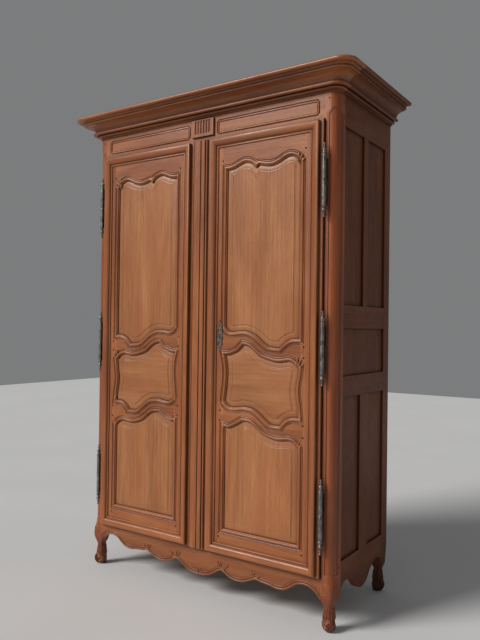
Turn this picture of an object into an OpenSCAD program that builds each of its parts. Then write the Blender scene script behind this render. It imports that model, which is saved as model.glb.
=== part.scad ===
// Two-door panelled armoire, millimetres, +Z up, doors face -Y.
// Origin: centre of the footprint of the whole piece, on the floor.

/* [Case] */
// Width over the corner posts
case_w = 1305; // [1200:1:1400]
// Depth from post face to back
case_d = 547; // [500:1:600]
// Height of the case under the cornice
case_h = 2100; // [2090:1:2130]
// Width of a corner post across the front
post_w = 51; // [48:1:56]
// Depth of a front post
post_d = 70; // [64:1:80]
// Radius of the rounded front corner
corner_r = 34; // [24:1:42]
// Thickness of the frame rails
rail_t = 28; // [24:1:32]

/* [Cornice] */
// Projection of the cornice past the case
cornice_out = 97; // [80:1:110]
// Height of the cornice
cornice_h = 95; // [85:1:110]

/* [Doors] */
// Bottom of the door leaves
leaf_z0 = 207; // [205:1:208]
// Top of the door leaves
leaf_z1 = 1996; // [1990:1:1996]
// Thickness of the door leaves
leaf_t = 28; // [26:1:30]
// Distance the leaves stand forward of the posts
leaf_out = 14; // [10:1:16]
// Half width of a panel opening
open_hw = 178; // [170:1:184]
// Width of the stiles
stile_w = 100; // [96:1:104]
// Width of the raised moulding around a leaf
mould_w = 41; // [34:1:44]
// Height of the raised moulding around a leaf
mould_t = 16; // [10:1:18]
// Width of the reeded centre batten
batten_w = 77; // [70:1:78]

/* [Hinges] */
// Outside radius of a hinge barrel
barrel_r = 8; // [7:0.5:9]
// Radius of a hinge pin
pin_r = 4; // [3.5:0.5:5]
// Length of one barrel half
barrel_h = 98; // [80:1:110]

/* [Inside] */
// Thickness of the shelves
shelf_t = 22; // [18:1:25]
// Height of the lowest shelf
shelf_z = 660; // [640:1:680]
// Distance from one shelf to the next
shelf_step = 430; // [400:1:440]

/* [Hidden] */
eps = 0.01;
fit = 0.15;
front_y = (cornice_out - case_d) / 2;
hw = case_w / 2;
post_in = hw - post_w;
rear_d = 60;
rear_y = case_d - rear_d;
side_t = 26;
side_in = hw - side_t;
tongue = 8;
tongue_in = hw - 17;
tongue_out = hw - 9;

// front frame
frieze_z0 = leaf_z1 + 3;
apron_z1 = leaf_z0 - 3;
tenon_y0 = 9;
tenon_y1 = 19;
tenon_len = 34;
stop_z0 = 220;
stop_z1 = 2041;

// side frames: heights of the rails
side_top_z = 1978;
up_rail = [1178, 1270];
low_rail = [904, 987];
side_low_z = 262;
muntin_y = 280;
up_muntin_w = 44;
low_muntin_w = 80;
side_tenon = 28;

// doors
door_c = 320;
leaf_hw = open_hw + stile_w;
leaf_y0 = -leaf_out;
leaf_y1 = leaf_t - leaf_out;
panel_y0 = -4;
panel_y1 = 4;
field_y0 = -11;
field_in = 26;
mould_hw = leaf_hw - 14;
mould_z0 = leaf_z0 + 6;
mould_z1 = leaf_z1 - 6;
bottom_open = 318;
tenon_door = 55;
batten_y0 = -20;
tongue_y0 = 2;

// hinges
axis_x = 606;
axis_y = -20;
hinge_z = [448, 1098, 1752];
knuckle_gap = 0.5;
blade_t = 3;
blade_h = 84;

// lock and bolts
lock_z = 1140;
key_x = 114;
lock_x0 = 46;
lock_x1 = 146;
lock_h = 92;
lock_t = 20;
lock_wall = 2.5;
bolt_w = 12;
bolt_t = 8;
bolt_len = 50;
bar_x = -100;
bar_w = 16;
bar_t = 6;
bar_len = 300;
bar_y0 = leaf_y1 + 2;
bar_gap = 1;
hole_deep = 28;

// floor, shelves, ceiling
board_t = 18;
floor_z = 184;
cleat_w = 24;
shelf_n = 3;
shelf_gap = 2;
board_n = 4;
back_n = 5;
back_t = 8;
back_y = case_d - 18;
back_top = [2000, case_h];
back_mid = [1080, 1170];
back_low = [170, 262];

// pegs
peg_r = 4;
peg_len = 24;

// ---- curves -------------------------------------------------------------

function mix(a, b, t) = a + (b - a) * t;

// one cubic step between control points p1 and p2
function step_pt(p0, p1, p2, p3, t) =
  0.5 * (2 * p1 + (p2 - p0) * t + (2 * p0 - 5 * p1 + 4 * p2 - p3) * t * t
  + (3 * p1 - p0 - 3 * p2 + p3) * t * t * t);

// smooth run through control points, without its last point
function run(p, n) = [
  for (i = [0:len(p) - 2], k = [0:n - 1])
    step_pt(p[max(i - 1, 0)], p[i], p[i + 1], p[min(i + 2, len(p) - 1)], k / n)
];

// runs joined at cusps, ending on the last control point
function curve(runs, n) = concat(
  [for (r = runs) each run(r, n)],
  [runs[len(runs) - 1][len(runs[len(runs) - 1]) - 1]]
);

function back_to_front(p) = [for (i = [len(p) - 1:-1:0]) p[i]];
function moved(p, dx, dy) = [for (q = p) [q[0] + dx, q[1] + dy]];
function mirrored(p) = [for (i = [len(p) - 1:-1:0]) [-p[i][0], p[i][1]]];
function arc(cx, cy, r, a0, a1, n) = [
  for (i = [0:n]) let (a = a0 + (a1 - a0) * i / n) [cx + r * cos(a), cy + r * sin(a)]
];

curve_n = 3;

// edges of the three openings of a leaf, across from the lock side
up_top = curve([
  [[-178, 1849], [-164, 1849], [-140, 1854], [-114, 1864], [-88, 1871],
   [-63, 1866], [-46, 1856], [-33, 1842]],
  [[-33, 1842], [-23, 1852], [-8, 1850], [12, 1845], [36, 1842], [60, 1845],
   [84, 1853], [106, 1864], [130, 1870], [148, 1866], [165, 1856], [178, 1842]]
], curve_n);
up_bot = curve([
  [[-178, 1176], [-165, 1163], [-146, 1156], [-107, 1160], [-72, 1160],
   [-40, 1150], [-14, 1136], [6, 1120], [26, 1106], [48, 1097], [88, 1094]],
  [[88, 1094], [103, 1108], [122, 1122], [146, 1132], [178, 1134]]
], curve_n);
mid_top = curve([
  [[-178, 1056], [-158, 1058], [-137, 1065], [-115, 1075], [-100, 1088], [-88, 1100]],
  [[-88, 1100], [-71, 1098], [-48, 1088], [-28, 1073], [-9, 1058], [16, 1048],
   [42, 1041], [66, 1036], [89, 1035], [112, 1038], [131, 1041], [148, 1037],
   [163, 1029], [178, 1015]]
], curve_n);
mid_bot = curve([
  [[-178, 862], [-168, 848], [-148, 838], [-125, 838], [-89, 844], [-64, 843],
   [-37, 839], [-10, 826], [14, 808], [38, 790], [56, 781], [93, 780]],
  [[93, 780], [106, 796], [126, 811], [150, 819], [178, 820]]
], curve_n);
low_top = curve([
  [[-178, 748], [-160, 746], [-134, 755], [-108, 769], [-88, 781]],
  [[-88, 781], [-63, 780], [-40, 773], [-16, 756], [4, 741], [29, 729],
   [54, 722], [78, 718], [102, 719], [130, 723], [146, 721], [160, 715], [178, 700]]
], curve_n);

// inward bow of the stiles beside the middle panel: height, amount
bow_lock = [[862, 0], [890, 3], [930, 8], [985, 11], [1030, 6], [1056, 0]];
bow_hinge = [[820, 0], [865, 4], [900, 10], [935, 12], [980, 5], [1015, 0]];

// lower edge of half the apron, from the middle to the post
apron_half = curve([
  [[0, 88], [30, 90], [60, 98], [88, 113], [112, 128], [132, 134]],
  [[132, 134], [146, 122], [172, 110], [205, 104], [240, 108], [272, 121], [300, 134]],
  [[300, 134], [325, 128], [365, 124], [400, 118], [435, 121], [463, 136],
   [492, 156], [525, 163], [556, 158], [580, 143], [601.5, 118]]
], curve_n);

// lower edge of a side rail, front to back
side_edge = curve([
  [[70, 150], [104, 172], [150, 170], [190, 148], [228, 114], [278, 98],
   [328, 114], [366, 148], [406, 170], [453, 172], [487, 150]]
], curve_n);

// foot seen square on: distance in from the post face, height
foot_outer = curve([
  [[0, 212], [-4, 192], [-9, 170], [-8, 148], [-2, 126], [8, 104], [13, 88],
   [14, 74], [11, 60], [7, 44], [4, 26], [7, 10], [12, 0]]
], curve_n);
foot_inner_x = curve([
  [[51, 118], [47, 104], [45, 88], [46, 72], [50, 56], [55, 40], [56, 22], [50, 0]]
], curve_n);
foot_inner_y = curve([
  [[70, 150], [64, 134], [55, 116], [48, 98], [46, 80], [48, 62], [54, 44],
   [56, 22], [50, 0]]
], curve_n);

// ---- helpers ------------------------------------------------------------

module placed() {
  translate([0, front_y, 0]) children();
}

// right-hand side as drawn, left-hand side mirrored
module on_side(s) {
  if (s > 0) children();
  else mirror([1, 0, 0]) children();
}

module box(a, b) {
  translate(a) cube(b - a);
}

// outline in x and z, given thickness in y
module plate(pts, y0, y1) {
  translate([0, y1, 0]) rotate([90, 0, 0]) linear_extrude(y1 - y0) polygon(pts);
}

// outline in y and z, given thickness in x
module side_plate(pts, x0, x1) {
  translate([x0, 0, 0]) rotate([90, 0, 90]) linear_extrude(x1 - x0) polygon(pts);
}

module peg_y(x, z, y0, y1, r) {
  translate([x, y1, z]) rotate([90, 0, 0]) cylinder(h = y1 - y0, r = r, $fn = 24);
}

module peg_x(y, z, x0, x1, r) {
  translate([x0, y, z]) rotate([0, 90, 0]) cylinder(h = x1 - x0, r = r, $fn = 24);
}

// ---- case frame: places of pegs, tenons and panels ----------------------

front_peg_z = [[frieze_z0 + 24, case_h - 24], [apron_z1 - 56, apron_z1 - 18]];
side_peg_z = [
  [side_top_z + 26, case_h - 26], [up_rail[0] + 22, up_rail[1] - 22],
  [low_rail[0] + 20, low_rail[1] - 20], [side_low_z - 62, side_low_z - 20]
];
side_peg_y = [post_d - 14, rear_y + 14];
front_peg_x = post_in + 17;

// sight sizes of the side panels: front, back, bottom, top
side_panes = [
  [post_d, muntin_y - up_muntin_w / 2, up_rail[1], side_top_z],
  [muntin_y + up_muntin_w / 2, rear_y, up_rail[1], side_top_z],
  [post_d, rear_y, low_rail[1], up_rail[0]],
  [post_d, muntin_y - low_muntin_w / 2, side_low_z, low_rail[0]],
  [muntin_y + low_muntin_w / 2, rear_y, side_low_z, low_rail[0]]
];
side_rail_z = [
  [side_top_z, case_h], up_rail, low_rail, [172, side_low_z]
];

module case_peg_set(r, grow) {
  for (zz = front_peg_z, z = zz)
    peg_y(front_peg_x, z, -grow, peg_len + grow, r);
  for (zz = side_peg_z, z = zz, y = side_peg_y)
    peg_x(y, z, hw - peg_len - grow, hw + grow, r);
}

module side_tenons(c) {
  for (zz = side_rail_z, s = [0, 1]) {
    y0 = s == 0 ? post_d - side_tenon - c : rear_y - eps;
    y1 = s == 0 ? post_d + eps : rear_y + side_tenon + c;
    box([tongue_in - c, y0, zz[0] + 12 - c], [tongue_out + c, y1, zz[1] - 12 + c]);
  }
}

module side_tongues(c) {
  for (p = side_panes)
    box([tongue_in - c, p[0] - tongue - c, p[2] - tongue - c],
        [tongue_out + c, p[1] + tongue + c, p[3] + tongue + c]);
}

front_tenon_z = [[frieze_z0 + 10, case_h - 10], [apron_z1 - 74, apron_z1 - 8]];

module front_tenon(i, c) {
  zz = front_tenon_z[i];
  box([post_in - eps, tenon_y0 - c, zz[0] - c],
      [post_in + tenon_len + c, tenon_y1 + c, zz[1] + c]);
}

module back_tenons(c) {
  for (zz = [back_top, back_mid, back_low])
    box([post_in - eps, back_y - c, zz[0] + 10 - c],
        [post_in + 26 + c, back_y + back_t + c, zz[1] - 10 + c]);
}

module back_tongues(c) {
  for (zz = [[back_low[1], back_mid[0]], [back_mid[1], back_top[0]]])
    box([-post_in - tongue - c, back_y - c, zz[0] - tongue - c],
        [post_in + tongue + c, back_y + back_t + c, zz[1] + tongue + c]);
}

module pintle_slots(c) {
  for (z = hinge_z)
    box([axis_x - blade_t / 2 - c, -1, z - 90 - c],
        [axis_x + blade_t / 2 + c, 30 + c, z - 90 + blade_h + c]);
}

// ---- case ---------------------------------------------------------------

toe_r = 29;
toe_l = 54;
toe_in = 31;
foot_top = 212;

// foot sawn from the post in two directions, with a rolled toe
module foot(depth, flare) {
  x_line = concat(
    [for (p = foot_outer) [hw - p[0], p[1]]],
    [for (p = back_to_front(foot_inner_x)) [hw - p[0], p[1]]],
    [[post_in, foot_top]]
  );
  y_line = concat(
    [for (p = foot_outer) [flare ? p[0] : max(p[0], 0), p[1]]],
    [for (p = back_to_front(foot_inner_y)) [min(p[0], depth), p[1]]],
    [[depth, foot_top]]
  );
  intersection() {
    plate(x_line, -30, post_d + 10);
    side_plate(y_line, post_in - 10, hw + 30);
  }
  intersection() {
    translate([hw - toe_in, toe_in - (flare ? 6 : 0), toe_r - 3])
      rotate([0, 0, 45]) rotate([0, 90, 0])
        cylinder(h = toe_l, r = toe_r, center = true, $fn = 48);
    box([post_in - 40, flare ? -60 : 0, 0], [hw + 60, post_d + 40, 90]);
  }
}

module front_post() {
  difference() {
    union() {
      translate([0, 0, foot_top - eps]) linear_extrude(case_h - foot_top + eps) polygon(concat(
        [[post_in, 0]],
        arc(hw - corner_r, corner_r, corner_r, -90, 0, 8),
        [[hw, post_d], [post_in, post_d]]
      ));
      foot(post_d, true);
    }
    // quirks beside the rounded corner
    box([hw - corner_r - 2, -1, stop_z0], [hw - corner_r + 1, 3, stop_z1]);
    box([hw - 3, corner_r - 1, stop_z0], [hw + 1, corner_r + 2, stop_z1]);
    for (i = [0, 1]) front_tenon(i, fit);
    side_tenons(fit);
    side_tongues(fit);
    case_peg_set(peg_r, 1);
    pintle_slots(fit);
  }
}

module rear_post() {
  difference() {
    union() {
      box([post_in, rear_y, foot_top - eps], [hw, case_d, case_h]);
      translate([0, case_d, 0]) mirror([0, 1, 0]) foot(rear_d, false);
    }
    side_tenons(fit);
    side_tongues(fit);
    back_tenons(fit);
    back_tongues(fit);
    case_peg_set(peg_r, 1);
  }
}

module front_post_left() {
  color("#9a6238") placed() on_side(-1) front_post();
}

module front_post_right() {
  color("#9a6238") placed() on_side(1) front_post();
}

module rear_post_left() {
  color("#8a5630") placed() on_side(-1) rear_post();
}

module rear_post_right() {
  color("#8a5630") placed() on_side(1) rear_post();
}

frieze_panel_x = [72, 576];
frieze_panel_z = [2013, 2081];
groove_w = 6;
groove_d = 4;

module frieze_rail() {
  color("#a06a3e") placed() difference() {
    union() {
      box([-post_in, 0, frieze_z0], [post_in, rail_t, case_h]);
      for (s = [-1, 1]) on_side(s) front_tenon(0, 0);
    }
    for (s = [-1, 1]) on_side(s) {
      difference() {
        box([frieze_panel_x[0], -1, frieze_panel_z[0]],
            [frieze_panel_x[1], groove_d, frieze_panel_z[1]]);
        box([frieze_panel_x[0] + groove_w, -2, frieze_panel_z[0] + groove_w],
            [frieze_panel_x[1] - groove_w, groove_d + 1, frieze_panel_z[1] - groove_w]);
      }
      case_peg_set(peg_r, 1);
    }
    bar_hole(1);
  }
}

block_hw = 59;
block_z = [2017, 2093];
flute_n = 6;
flute_step = 15;

module fluted_block() {
  color("#a06a3e") placed() difference() {
    box([-block_hw, -9, block_z[0]], [block_hw, 0, block_z[1]]);
    for (i = [0:flute_n - 1])
      translate([(i - (flute_n - 1) / 2) * flute_step, -11, block_z[0] + 14])
        cylinder(h = 100, r = 5, $fn = 20);
  }
}

module apron_rail() {
  edge = concat(mirrored(apron_half), [for (i = [1:len(apron_half) - 1]) apron_half[i]]);
  half_w = apron_half[len(apron_half) - 1][0];
  color("#a06a3e") placed() difference() {
    union() {
      intersection() {
        plate(concat([[-half_w, apron_z1]], edge, [[half_w, apron_z1]]), 0, rail_t);
        box([-post_in, -1, 0], [post_in, rail_t + 1, apron_z1 + 1]);
      }
      for (s = [-1, 1]) on_side(s) front_tenon(1, 0);
    }
    for (s = [-1, 1]) on_side(s) case_peg_set(peg_r, 1);
    bar_hole(-1);
  }
}

module side_rail_blank(i) {
  zz = side_rail_z[i];
  difference() {
    union() {
      if (i < 3)
        box([side_in, post_d, zz[0]], [hw, rear_y, zz[1]]);
      else
        side_plate(concat([[post_d, zz[1]]], side_edge, [[rear_y, zz[1]]]), side_in, hw);
      intersection() {
        side_tenons(0);
        box([0, 0, zz[0]], [hw, case_d, zz[1]]);
      }
    }
    side_tongues(fit);
    muntin_tenons(fit);
    case_peg_set(peg_r, 1);
  }
}

module side_top_rail_left() {
  color("#96602f") placed() on_side(-1) side_rail_blank(0);
}

module side_top_rail_right() {
  color("#96602f") placed() on_side(1) side_rail_blank(0);
}

module side_mid_rails() {
  color("#96602f") placed() for (s = [-1, 1], i = [1, 2]) on_side(s) side_rail_blank(i);
}

module side_bottom_rail_left() {
  color("#96602f") placed() on_side(-1) side_rail_blank(3);
}

module side_bottom_rail_right() {
  color("#96602f") placed() on_side(1) side_rail_blank(3);
}

muntin_tenon = 24;
muntin_set = [
  [up_muntin_w, up_rail[1], side_top_z], [low_muntin_w, side_low_z, low_rail[0]]
];

module muntin_tenons(c) {
  for (m = muntin_set)
    box([tongue_in - c, muntin_y - m[0] / 2 + tongue + 2 - c, m[1] - muntin_tenon - c],
        [tongue_out + c, muntin_y + m[0] / 2 - tongue - 2 + c, m[2] + muntin_tenon + c]);
}

module side_muntins() {
  color("#96602f") placed() for (s = [-1, 1]) on_side(s) difference() {
    union() {
      for (m = muntin_set)
        box([side_in, muntin_y - m[0] / 2, m[1]], [hw, muntin_y + m[0] / 2, m[2]]);
      muntin_tenons(0);
    }
    difference() {
      side_tongues(fit);
      // the tenon core runs through untouched
      muntin_tenons(0);
    }
  }
}

module side_panel_set() {
  for (p = side_panes) {
    box([tongue_in, p[0] - tongue, p[2] - tongue],
        [tongue_out, p[1] + tongue, p[3] + tongue]);
    box([tongue_in - 4, p[0] + 12, p[2] + 12], [tongue_in + eps, p[1] - 12, p[3] - 12]);
  }
}

module side_panels_left() {
  color("#8d5a34") placed() on_side(-1) side_panel_set();
}

module side_panels_right() {
  color("#8d5a34") placed() on_side(1) side_panel_set();
}

module back_rails() {
  color("#7d5230") placed() difference() {
    union() {
      for (zz = [back_top, back_mid, back_low])
        box([-post_in, case_d - rail_t, zz[0]], [post_in, case_d, zz[1]]);
      for (s = [-1, 1]) on_side(s) back_tenons(0);
    }
    back_tongues(fit);
  }
}

module back_boards() {
  span = 2 * (post_in + tongue);
  w = span / back_n;
  color("#7d5230") placed()
    for (i = [0:back_n - 1], zz = [[back_low[1], back_mid[0]], [back_mid[1], back_top[0]]])
      box([-span / 2 + i * w + 0.4, back_y, zz[0] - tongue],
          [-span / 2 + (i + 1) * w - 0.4, back_y + back_t, zz[1] + tongue]);
}

module floor_boards() {
  y0 = rail_t + 1;
  w = (case_d - rail_t - 1 - y0) / board_n;
  color("#86592f") placed() for (i = [0:board_n - 1])
    box([-post_in + 1, y0 + i * w + 0.3, floor_z],
        [post_in - 1, y0 + (i + 1) * w - 0.3, floor_z + board_t]);
}

module ceiling_boards() {
  y0 = 19;
  w = (case_d - 1 - y0) / board_n;
  c = corner_r + 6;
  color("#86592f") placed() difference() {
    for (i = [0:board_n - 1])
      box([-hw + 19, y0 + i * w + 0.3, case_h],
          [hw - 19, y0 + (i + 1) * w - 0.3, case_h + board_t - 4]);
    // front corners rounded to clear the inside of the cornice
    for (s = [-1, 1]) on_side(s) translate([hw - c, c, case_h - 1]) difference() {
      translate([0, -c, 0]) cube([c, c, board_t]);
      translate([0, 0, -1]) cylinder(h = board_t + 2, r = c - 19, $fn = 64);
    }
  }
}

// cornice section: distance out from the case face, height above the case
cornice_k = cornice_out / 97;
cornice_v = cornice_h / 95;
cornice_line = concat(
  [[-18, 0], [6, 0], [6, 6], [13, 6]],
  arc(13, 12, 6, -80, 80, 5),
  [[21, 19]],
  arc(29, 22, 6, -90, 90, 5),
  run([[27, 31], [30, 41], [38, 50], [50, 56], [66, 58]], 3),
  [[66, 58], [71, 58], [71, 66]],
  run([[75, 67], [80, 74], [89, 77]], 3),
  [[89, 77]],
  arc(88, 86, 9, -80, 70, 6),
  [[88, 95], [-18, 95]]
);
cornice_pts = [for (p = cornice_line) [p[0] * cornice_k, p[1] * cornice_v]];

// corner radius of the cornice at a distance out from the case face
function cornice_r(p) = corner_r + 6 + (p > 0 ? 0.22 * p : p);

// plan of one section point at a corner: side, distance out, angle
function cornice_at(s, p, a) = [
  s * (hw + p - cornice_r(p)) + cornice_r(p) * cos(a), -p + cornice_r(p) * (1 + sin(a))
];

corner_steps = 8;
cornice_end = corner_r + 8;

module cornice_front() {
  n = len(cornice_pts);
  stations = [
    [for (p = cornice_pts) [-hw - p[0], cornice_end, p[1]]],
    for (s = [-1, 1], k = [0:corner_steps])
      [for (p = cornice_pts) let (q = cornice_at(s, p[0], (s - 3) * 45 + k * 90 / corner_steps))
        [q[0], q[1], p[1]]],
    [for (p = cornice_pts) [hw + p[0], cornice_end, p[1]]]
  ];
  m = len(stations);
  color("#9c653a") placed() translate([0, 0, case_h]) polyhedron(
    points = [for (st = stations, q = st) q],
    faces = concat(
      [[for (i = [0:n - 1]) i]],
      [for (k = [0:m - 2], i = [0:n - 1]) let (j = (i + 1) % n)
        [k * n + j, k * n + i, (k + 1) * n + i, (k + 1) * n + j]],
      [[for (i = [n - 1:-1:0]) (m - 1) * n + i]]
    )
  );
}

module cornice_sides() {
  color("#9c653a") placed() for (s = [-1, 1]) on_side(s)
    translate([hw, case_d, case_h]) rotate([90, 0, 0])
      linear_extrude(case_d - cornice_end - 0.2) polygon(cornice_pts);
}

module shelves() {
  color("#86592f") placed() for (i = [0:shelf_n - 1])
    box([-post_in + shelf_gap, 42, shelf_z + i * shelf_step],
        [post_in - shelf_gap, 515, shelf_z + i * shelf_step + shelf_t]);
}

module cleats() {
  color("#7d5230") placed() {
    box([-post_in + 26, rail_t, floor_z - 24], [post_in - 26, rail_t + 22, floor_z]);
    for (s = [-1, 1]) on_side(s) {
      box([post_in - cleat_w, rail_t + 8, floor_z - 24], [post_in, 515, floor_z]);
      for (i = [0:shelf_n - 1])
        box([post_in - cleat_w, rail_t + 8, shelf_z + i * shelf_step - 24],
            [post_in, 515, shelf_z + i * shelf_step]);
    }
  }
}

module case_pegs() {
  color("#6d4526") placed() for (s = [-1, 1]) on_side(s) case_peg_set(peg_r - 0.05, 0);
}

// ---- hinges -------------------------------------------------------------

finial_line = concat(
  [[0, 0]],
  [[7.5, 0], [7.5, 3], [5, 5], [4.5, 8]],
  arc(0, 18, 8, -50, 60, 8),
  [[3, 28], [3, 31], [5.5, 33], [5.5, 35], [2.5, 38]],
  arc(0, 44, 4.5, -45, 80, 5),
  [[0, 49.5]]
);

module finial() {
  rotate_extrude($fn = 40) polygon(finial_line);
}

module knuckle_bands(z0, z1) {
  for (z = [z0, z1 - 4])
    translate([0, 0, z]) cylinder(h = 4, r = barrel_r + 1, $fn = 40);
}

// lower halves, fixed in the post and carrying the pins
module pintle_set() {
  for (z = hinge_z) translate([axis_x, axis_y, z]) {
    translate([0, 0, -barrel_h]) cylinder(h = barrel_h, r = barrel_r, $fn = 48);
    knuckle_bands(-barrel_h, 0);
    cylinder(h = 60, r = pin_r, $fn = 48);
    mirror([0, 0, 1]) translate([0, 0, barrel_h]) finial();
    box([-blade_t / 2, 0, -90], [blade_t / 2, 30 - axis_y, -90 + blade_h]);
  }
}

module hinge_pintles() {
  color("#7a746c") placed() for (s = [-1, 1]) on_side(s) pintle_set();
}

door_blade_y = [-8, -5];

// upper halves, fixed in the leaf
module knuckle_set() {
  for (z = hinge_z) translate([axis_x, axis_y, z]) difference() {
    union() {
      translate([0, 0, knuckle_gap]) {
        cylinder(h = barrel_h, r = barrel_r, $fn = 48);
        knuckle_bands(0, barrel_h);
        translate([0, 0, barrel_h]) finial();
      }
      box([-4, 0, 6], [2, door_blade_y[1] - axis_y, 6 + blade_h]);
      box([570 - axis_x, door_blade_y[0] - axis_y, 6],
          [2, door_blade_y[1] - axis_y, 6 + blade_h]);
    }
    translate([0, 0, -1]) cylinder(h = 62 + knuckle_gap, r = pin_r + 0.05, $fn = 48);
  }
}

module knuckle_slots(c) {
  for (z = hinge_z)
    box([570 - c, door_blade_y[0] - c, z + 6 - c],
        [door_c + leaf_hw + 1, door_blade_y[1] + c, z + 6 + blade_h + c]);
}

// ---- door leaves, drawn for the right-hand side --------------------------

function top_z(k, u) = k == 0 ? lookup(u, up_top) : k == 1 ? lookup(u, mid_top) : lookup(u, low_top);
function bot_z(k, u) = k == 0 ? lookup(u, up_bot) : k == 1 ? lookup(u, mid_bot) : bottom_open;

side_steps = 14;

// closed outline of panel opening k, grown outwards by e
function outline(k, e) =
  let (
    w = open_hw + e,
    us = [for (i = [0:84]) -w + 2 * w * i / 84],
    l0 = bot_z(k, -w) - e, l1 = top_z(k, -w) + e,
    r0 = bot_z(k, w) - e, r1 = top_z(k, w) + e
  )
  concat(
    [for (u = us) [u, bot_z(k, u) - e]],
    [for (i = [1:side_steps - 1]) let (z = mix(r0, r1, i / side_steps))
      [w - (k == 1 ? lookup(z, bow_hinge) : 0), z]],
    [for (i = [len(us) - 1:-1:0]) [us[i], top_z(k, us[i]) + e]],
    [for (i = [1:side_steps - 1]) let (z = mix(l1, l0, i / side_steps))
      [-w + (k == 1 ? lookup(z, bow_lock) : 0), z]]
  );

module in_leaf() {
  translate([door_c, 0, 0]) children();
}

// ends of the tenons of each rail: lock side, hinge side
rail_spans = [
  [[1872, 1984], [1872, 1984]], [[1070, 1150], [1040, 1120]],
  [[760, 838], [725, 808]], [[219, 300], [219, 300]]
];
peg_in = 18;

module leaf_tenon(i, s, c) {
  z = rail_spans[i][s > 0 ? 1 : 0];
  on_side(s) box([open_hw - 12, -5 - c, z[0] - c], [open_hw + tenon_door + c, 5 + c, z[1] + c]);
}

module leaf_pegs(r, grow) {
  for (i = [0:3], s = [0, 1], e = [0, 1])
    peg_y((s * 2 - 1) * (open_hw + 24),
      rail_spans[i][s][e] + (e == 0 ? peg_in : -peg_in), leaf_y0 - grow, leaf_y1 + grow, r);
}

module leaf_grooves() {
  for (k = [0:2]) plate(outline(k, tongue + 0.3), panel_y0 - 0.1, panel_y1 + 0.1);
}

hinge_stile_line = concat(
  [[leaf_hw, leaf_z0], [leaf_hw, leaf_z1], [open_hw, leaf_z1]],
  [for (b = back_to_front(bow_hinge)) [open_hw - b[1], b[0]]],
  [[open_hw, leaf_z0]]
);
lock_stile_line = concat(
  [[-leaf_hw, leaf_z0], [-leaf_hw, leaf_z1], [-open_hw, leaf_z1]],
  [for (b = back_to_front(bow_lock)) [b[1] - open_hw, b[0]]],
  [[-open_hw, leaf_z0]]
);
rail_lines = [
  concat([[-open_hw, leaf_z1]], up_top, [[open_hw, leaf_z1]]),
  concat(up_bot, back_to_front(mid_top)),
  concat(mid_bot, back_to_front(low_top)),
  [[-open_hw, leaf_z0], [-open_hw, bottom_open], [open_hw, bottom_open], [open_hw, leaf_z0]]
];

module leaf_stile(s) {
  difference() {
    plate(s > 0 ? hinge_stile_line : lock_stile_line, leaf_y0, leaf_y1);
    leaf_grooves();
    leaf_pegs(peg_r, 1);
    for (i = [0:3]) leaf_tenon(i, s, fit);
  }
}

module leaf_rail(i) {
  difference() {
    union() {
      plate(rail_lines[i], leaf_y0, leaf_y1);
      for (s = [-1, 1]) leaf_tenon(i, s, 0);
    }
    leaf_grooves();
    leaf_pegs(peg_r, 1);
  }
}

module leaf_panel(k) {
  plate(outline(k, tongue), panel_y0, panel_y1);
  plate(outline(k, -field_in), field_y0, panel_y0 + eps);
}

// section of the raised moulding: across its width, height
mould_line = concat(
  [[0, 0], [0, mould_t - 5]],
  arc(5, mould_t - 5, 5, 180, 90, 4),
  [[15, mould_t]],
  run([[15, mould_t], [22, mould_t - 3], [28, mould_t - 8], [35, mould_t - 10]], 3),
  [[35, mould_t - 10], [mould_w, mould_t - 12], [mould_w, 0]]
);

// mitred length along x, outer edge on y = 0, moulding towards +y
module mitred(len) {
  difference() {
    translate([-len / 2, 0, 0]) rotate([90, 0, 90]) linear_extrude(len) polygon(mould_line);
    for (s = [-1, 1]) on_side(s)
      translate([len / 2, 0, -1]) rotate([0, 0, 45]) cube([100, 100, 60]);
  }
}

module leaf_moulding() {
  h = mould_z1 - mould_z0;
  mid = (mould_z0 + mould_z1) / 2;
  gap = 0.05;
  translate([0, leaf_y0, 0]) rotate([90, 0, 0]) {
    translate([0, mould_z0, 0]) mitred(2 * mould_hw - gap);
    translate([0, mould_z1, 0]) rotate([0, 0, 180]) mitred(2 * mould_hw - gap);
    translate([-mould_hw, mid, 0]) rotate([0, 0, -90]) mitred(h - 2 * gap);
    translate([mould_hw, mid, 0]) rotate([0, 0, 90]) mitred(h - 2 * gap);
  }
}

// ---- left leaf ----------------------------------------------------------

batten_x0 = -38;
batten_x1 = batten_x0 + batten_w;

module left_leaf_place() {
  placed() on_side(-1) in_leaf() children();
}

module left_hinge_stile() {
  color("#a56c3f") placed() on_side(-1) difference() {
    in_leaf() leaf_stile(1);
    knuckle_slots(fit);
  }
}

module left_meeting_stile() {
  color("#a56c3f") {
    left_leaf_place() leaf_stile(-1);
    placed() box([leaf_hw - door_c - eps, tongue_y0, leaf_z0],
                 [batten_x1, leaf_y1, leaf_z1]);
  }
}

module left_top_rail() {
  color("#a56c3f") left_leaf_place() leaf_rail(0);
}

module left_upper_mid_rail() {
  color("#a56c3f") left_leaf_place() leaf_rail(1);
}

module left_lower_mid_rail() {
  color("#a56c3f") left_leaf_place() leaf_rail(2);
}

module left_bottom_rail() {
  color("#a56c3f") left_leaf_place() leaf_rail(3);
}

module left_upper_panel() {
  color("#b07a4c") left_leaf_place() leaf_panel(0);
}

module left_middle_panel() {
  color("#b07a4c") left_leaf_place() leaf_panel(1);
}

module left_lower_panel() {
  color("#b07a4c") left_leaf_place() leaf_panel(2);
}

module left_moulding() {
  color("#b5835a") left_leaf_place() leaf_moulding();
}

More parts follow.
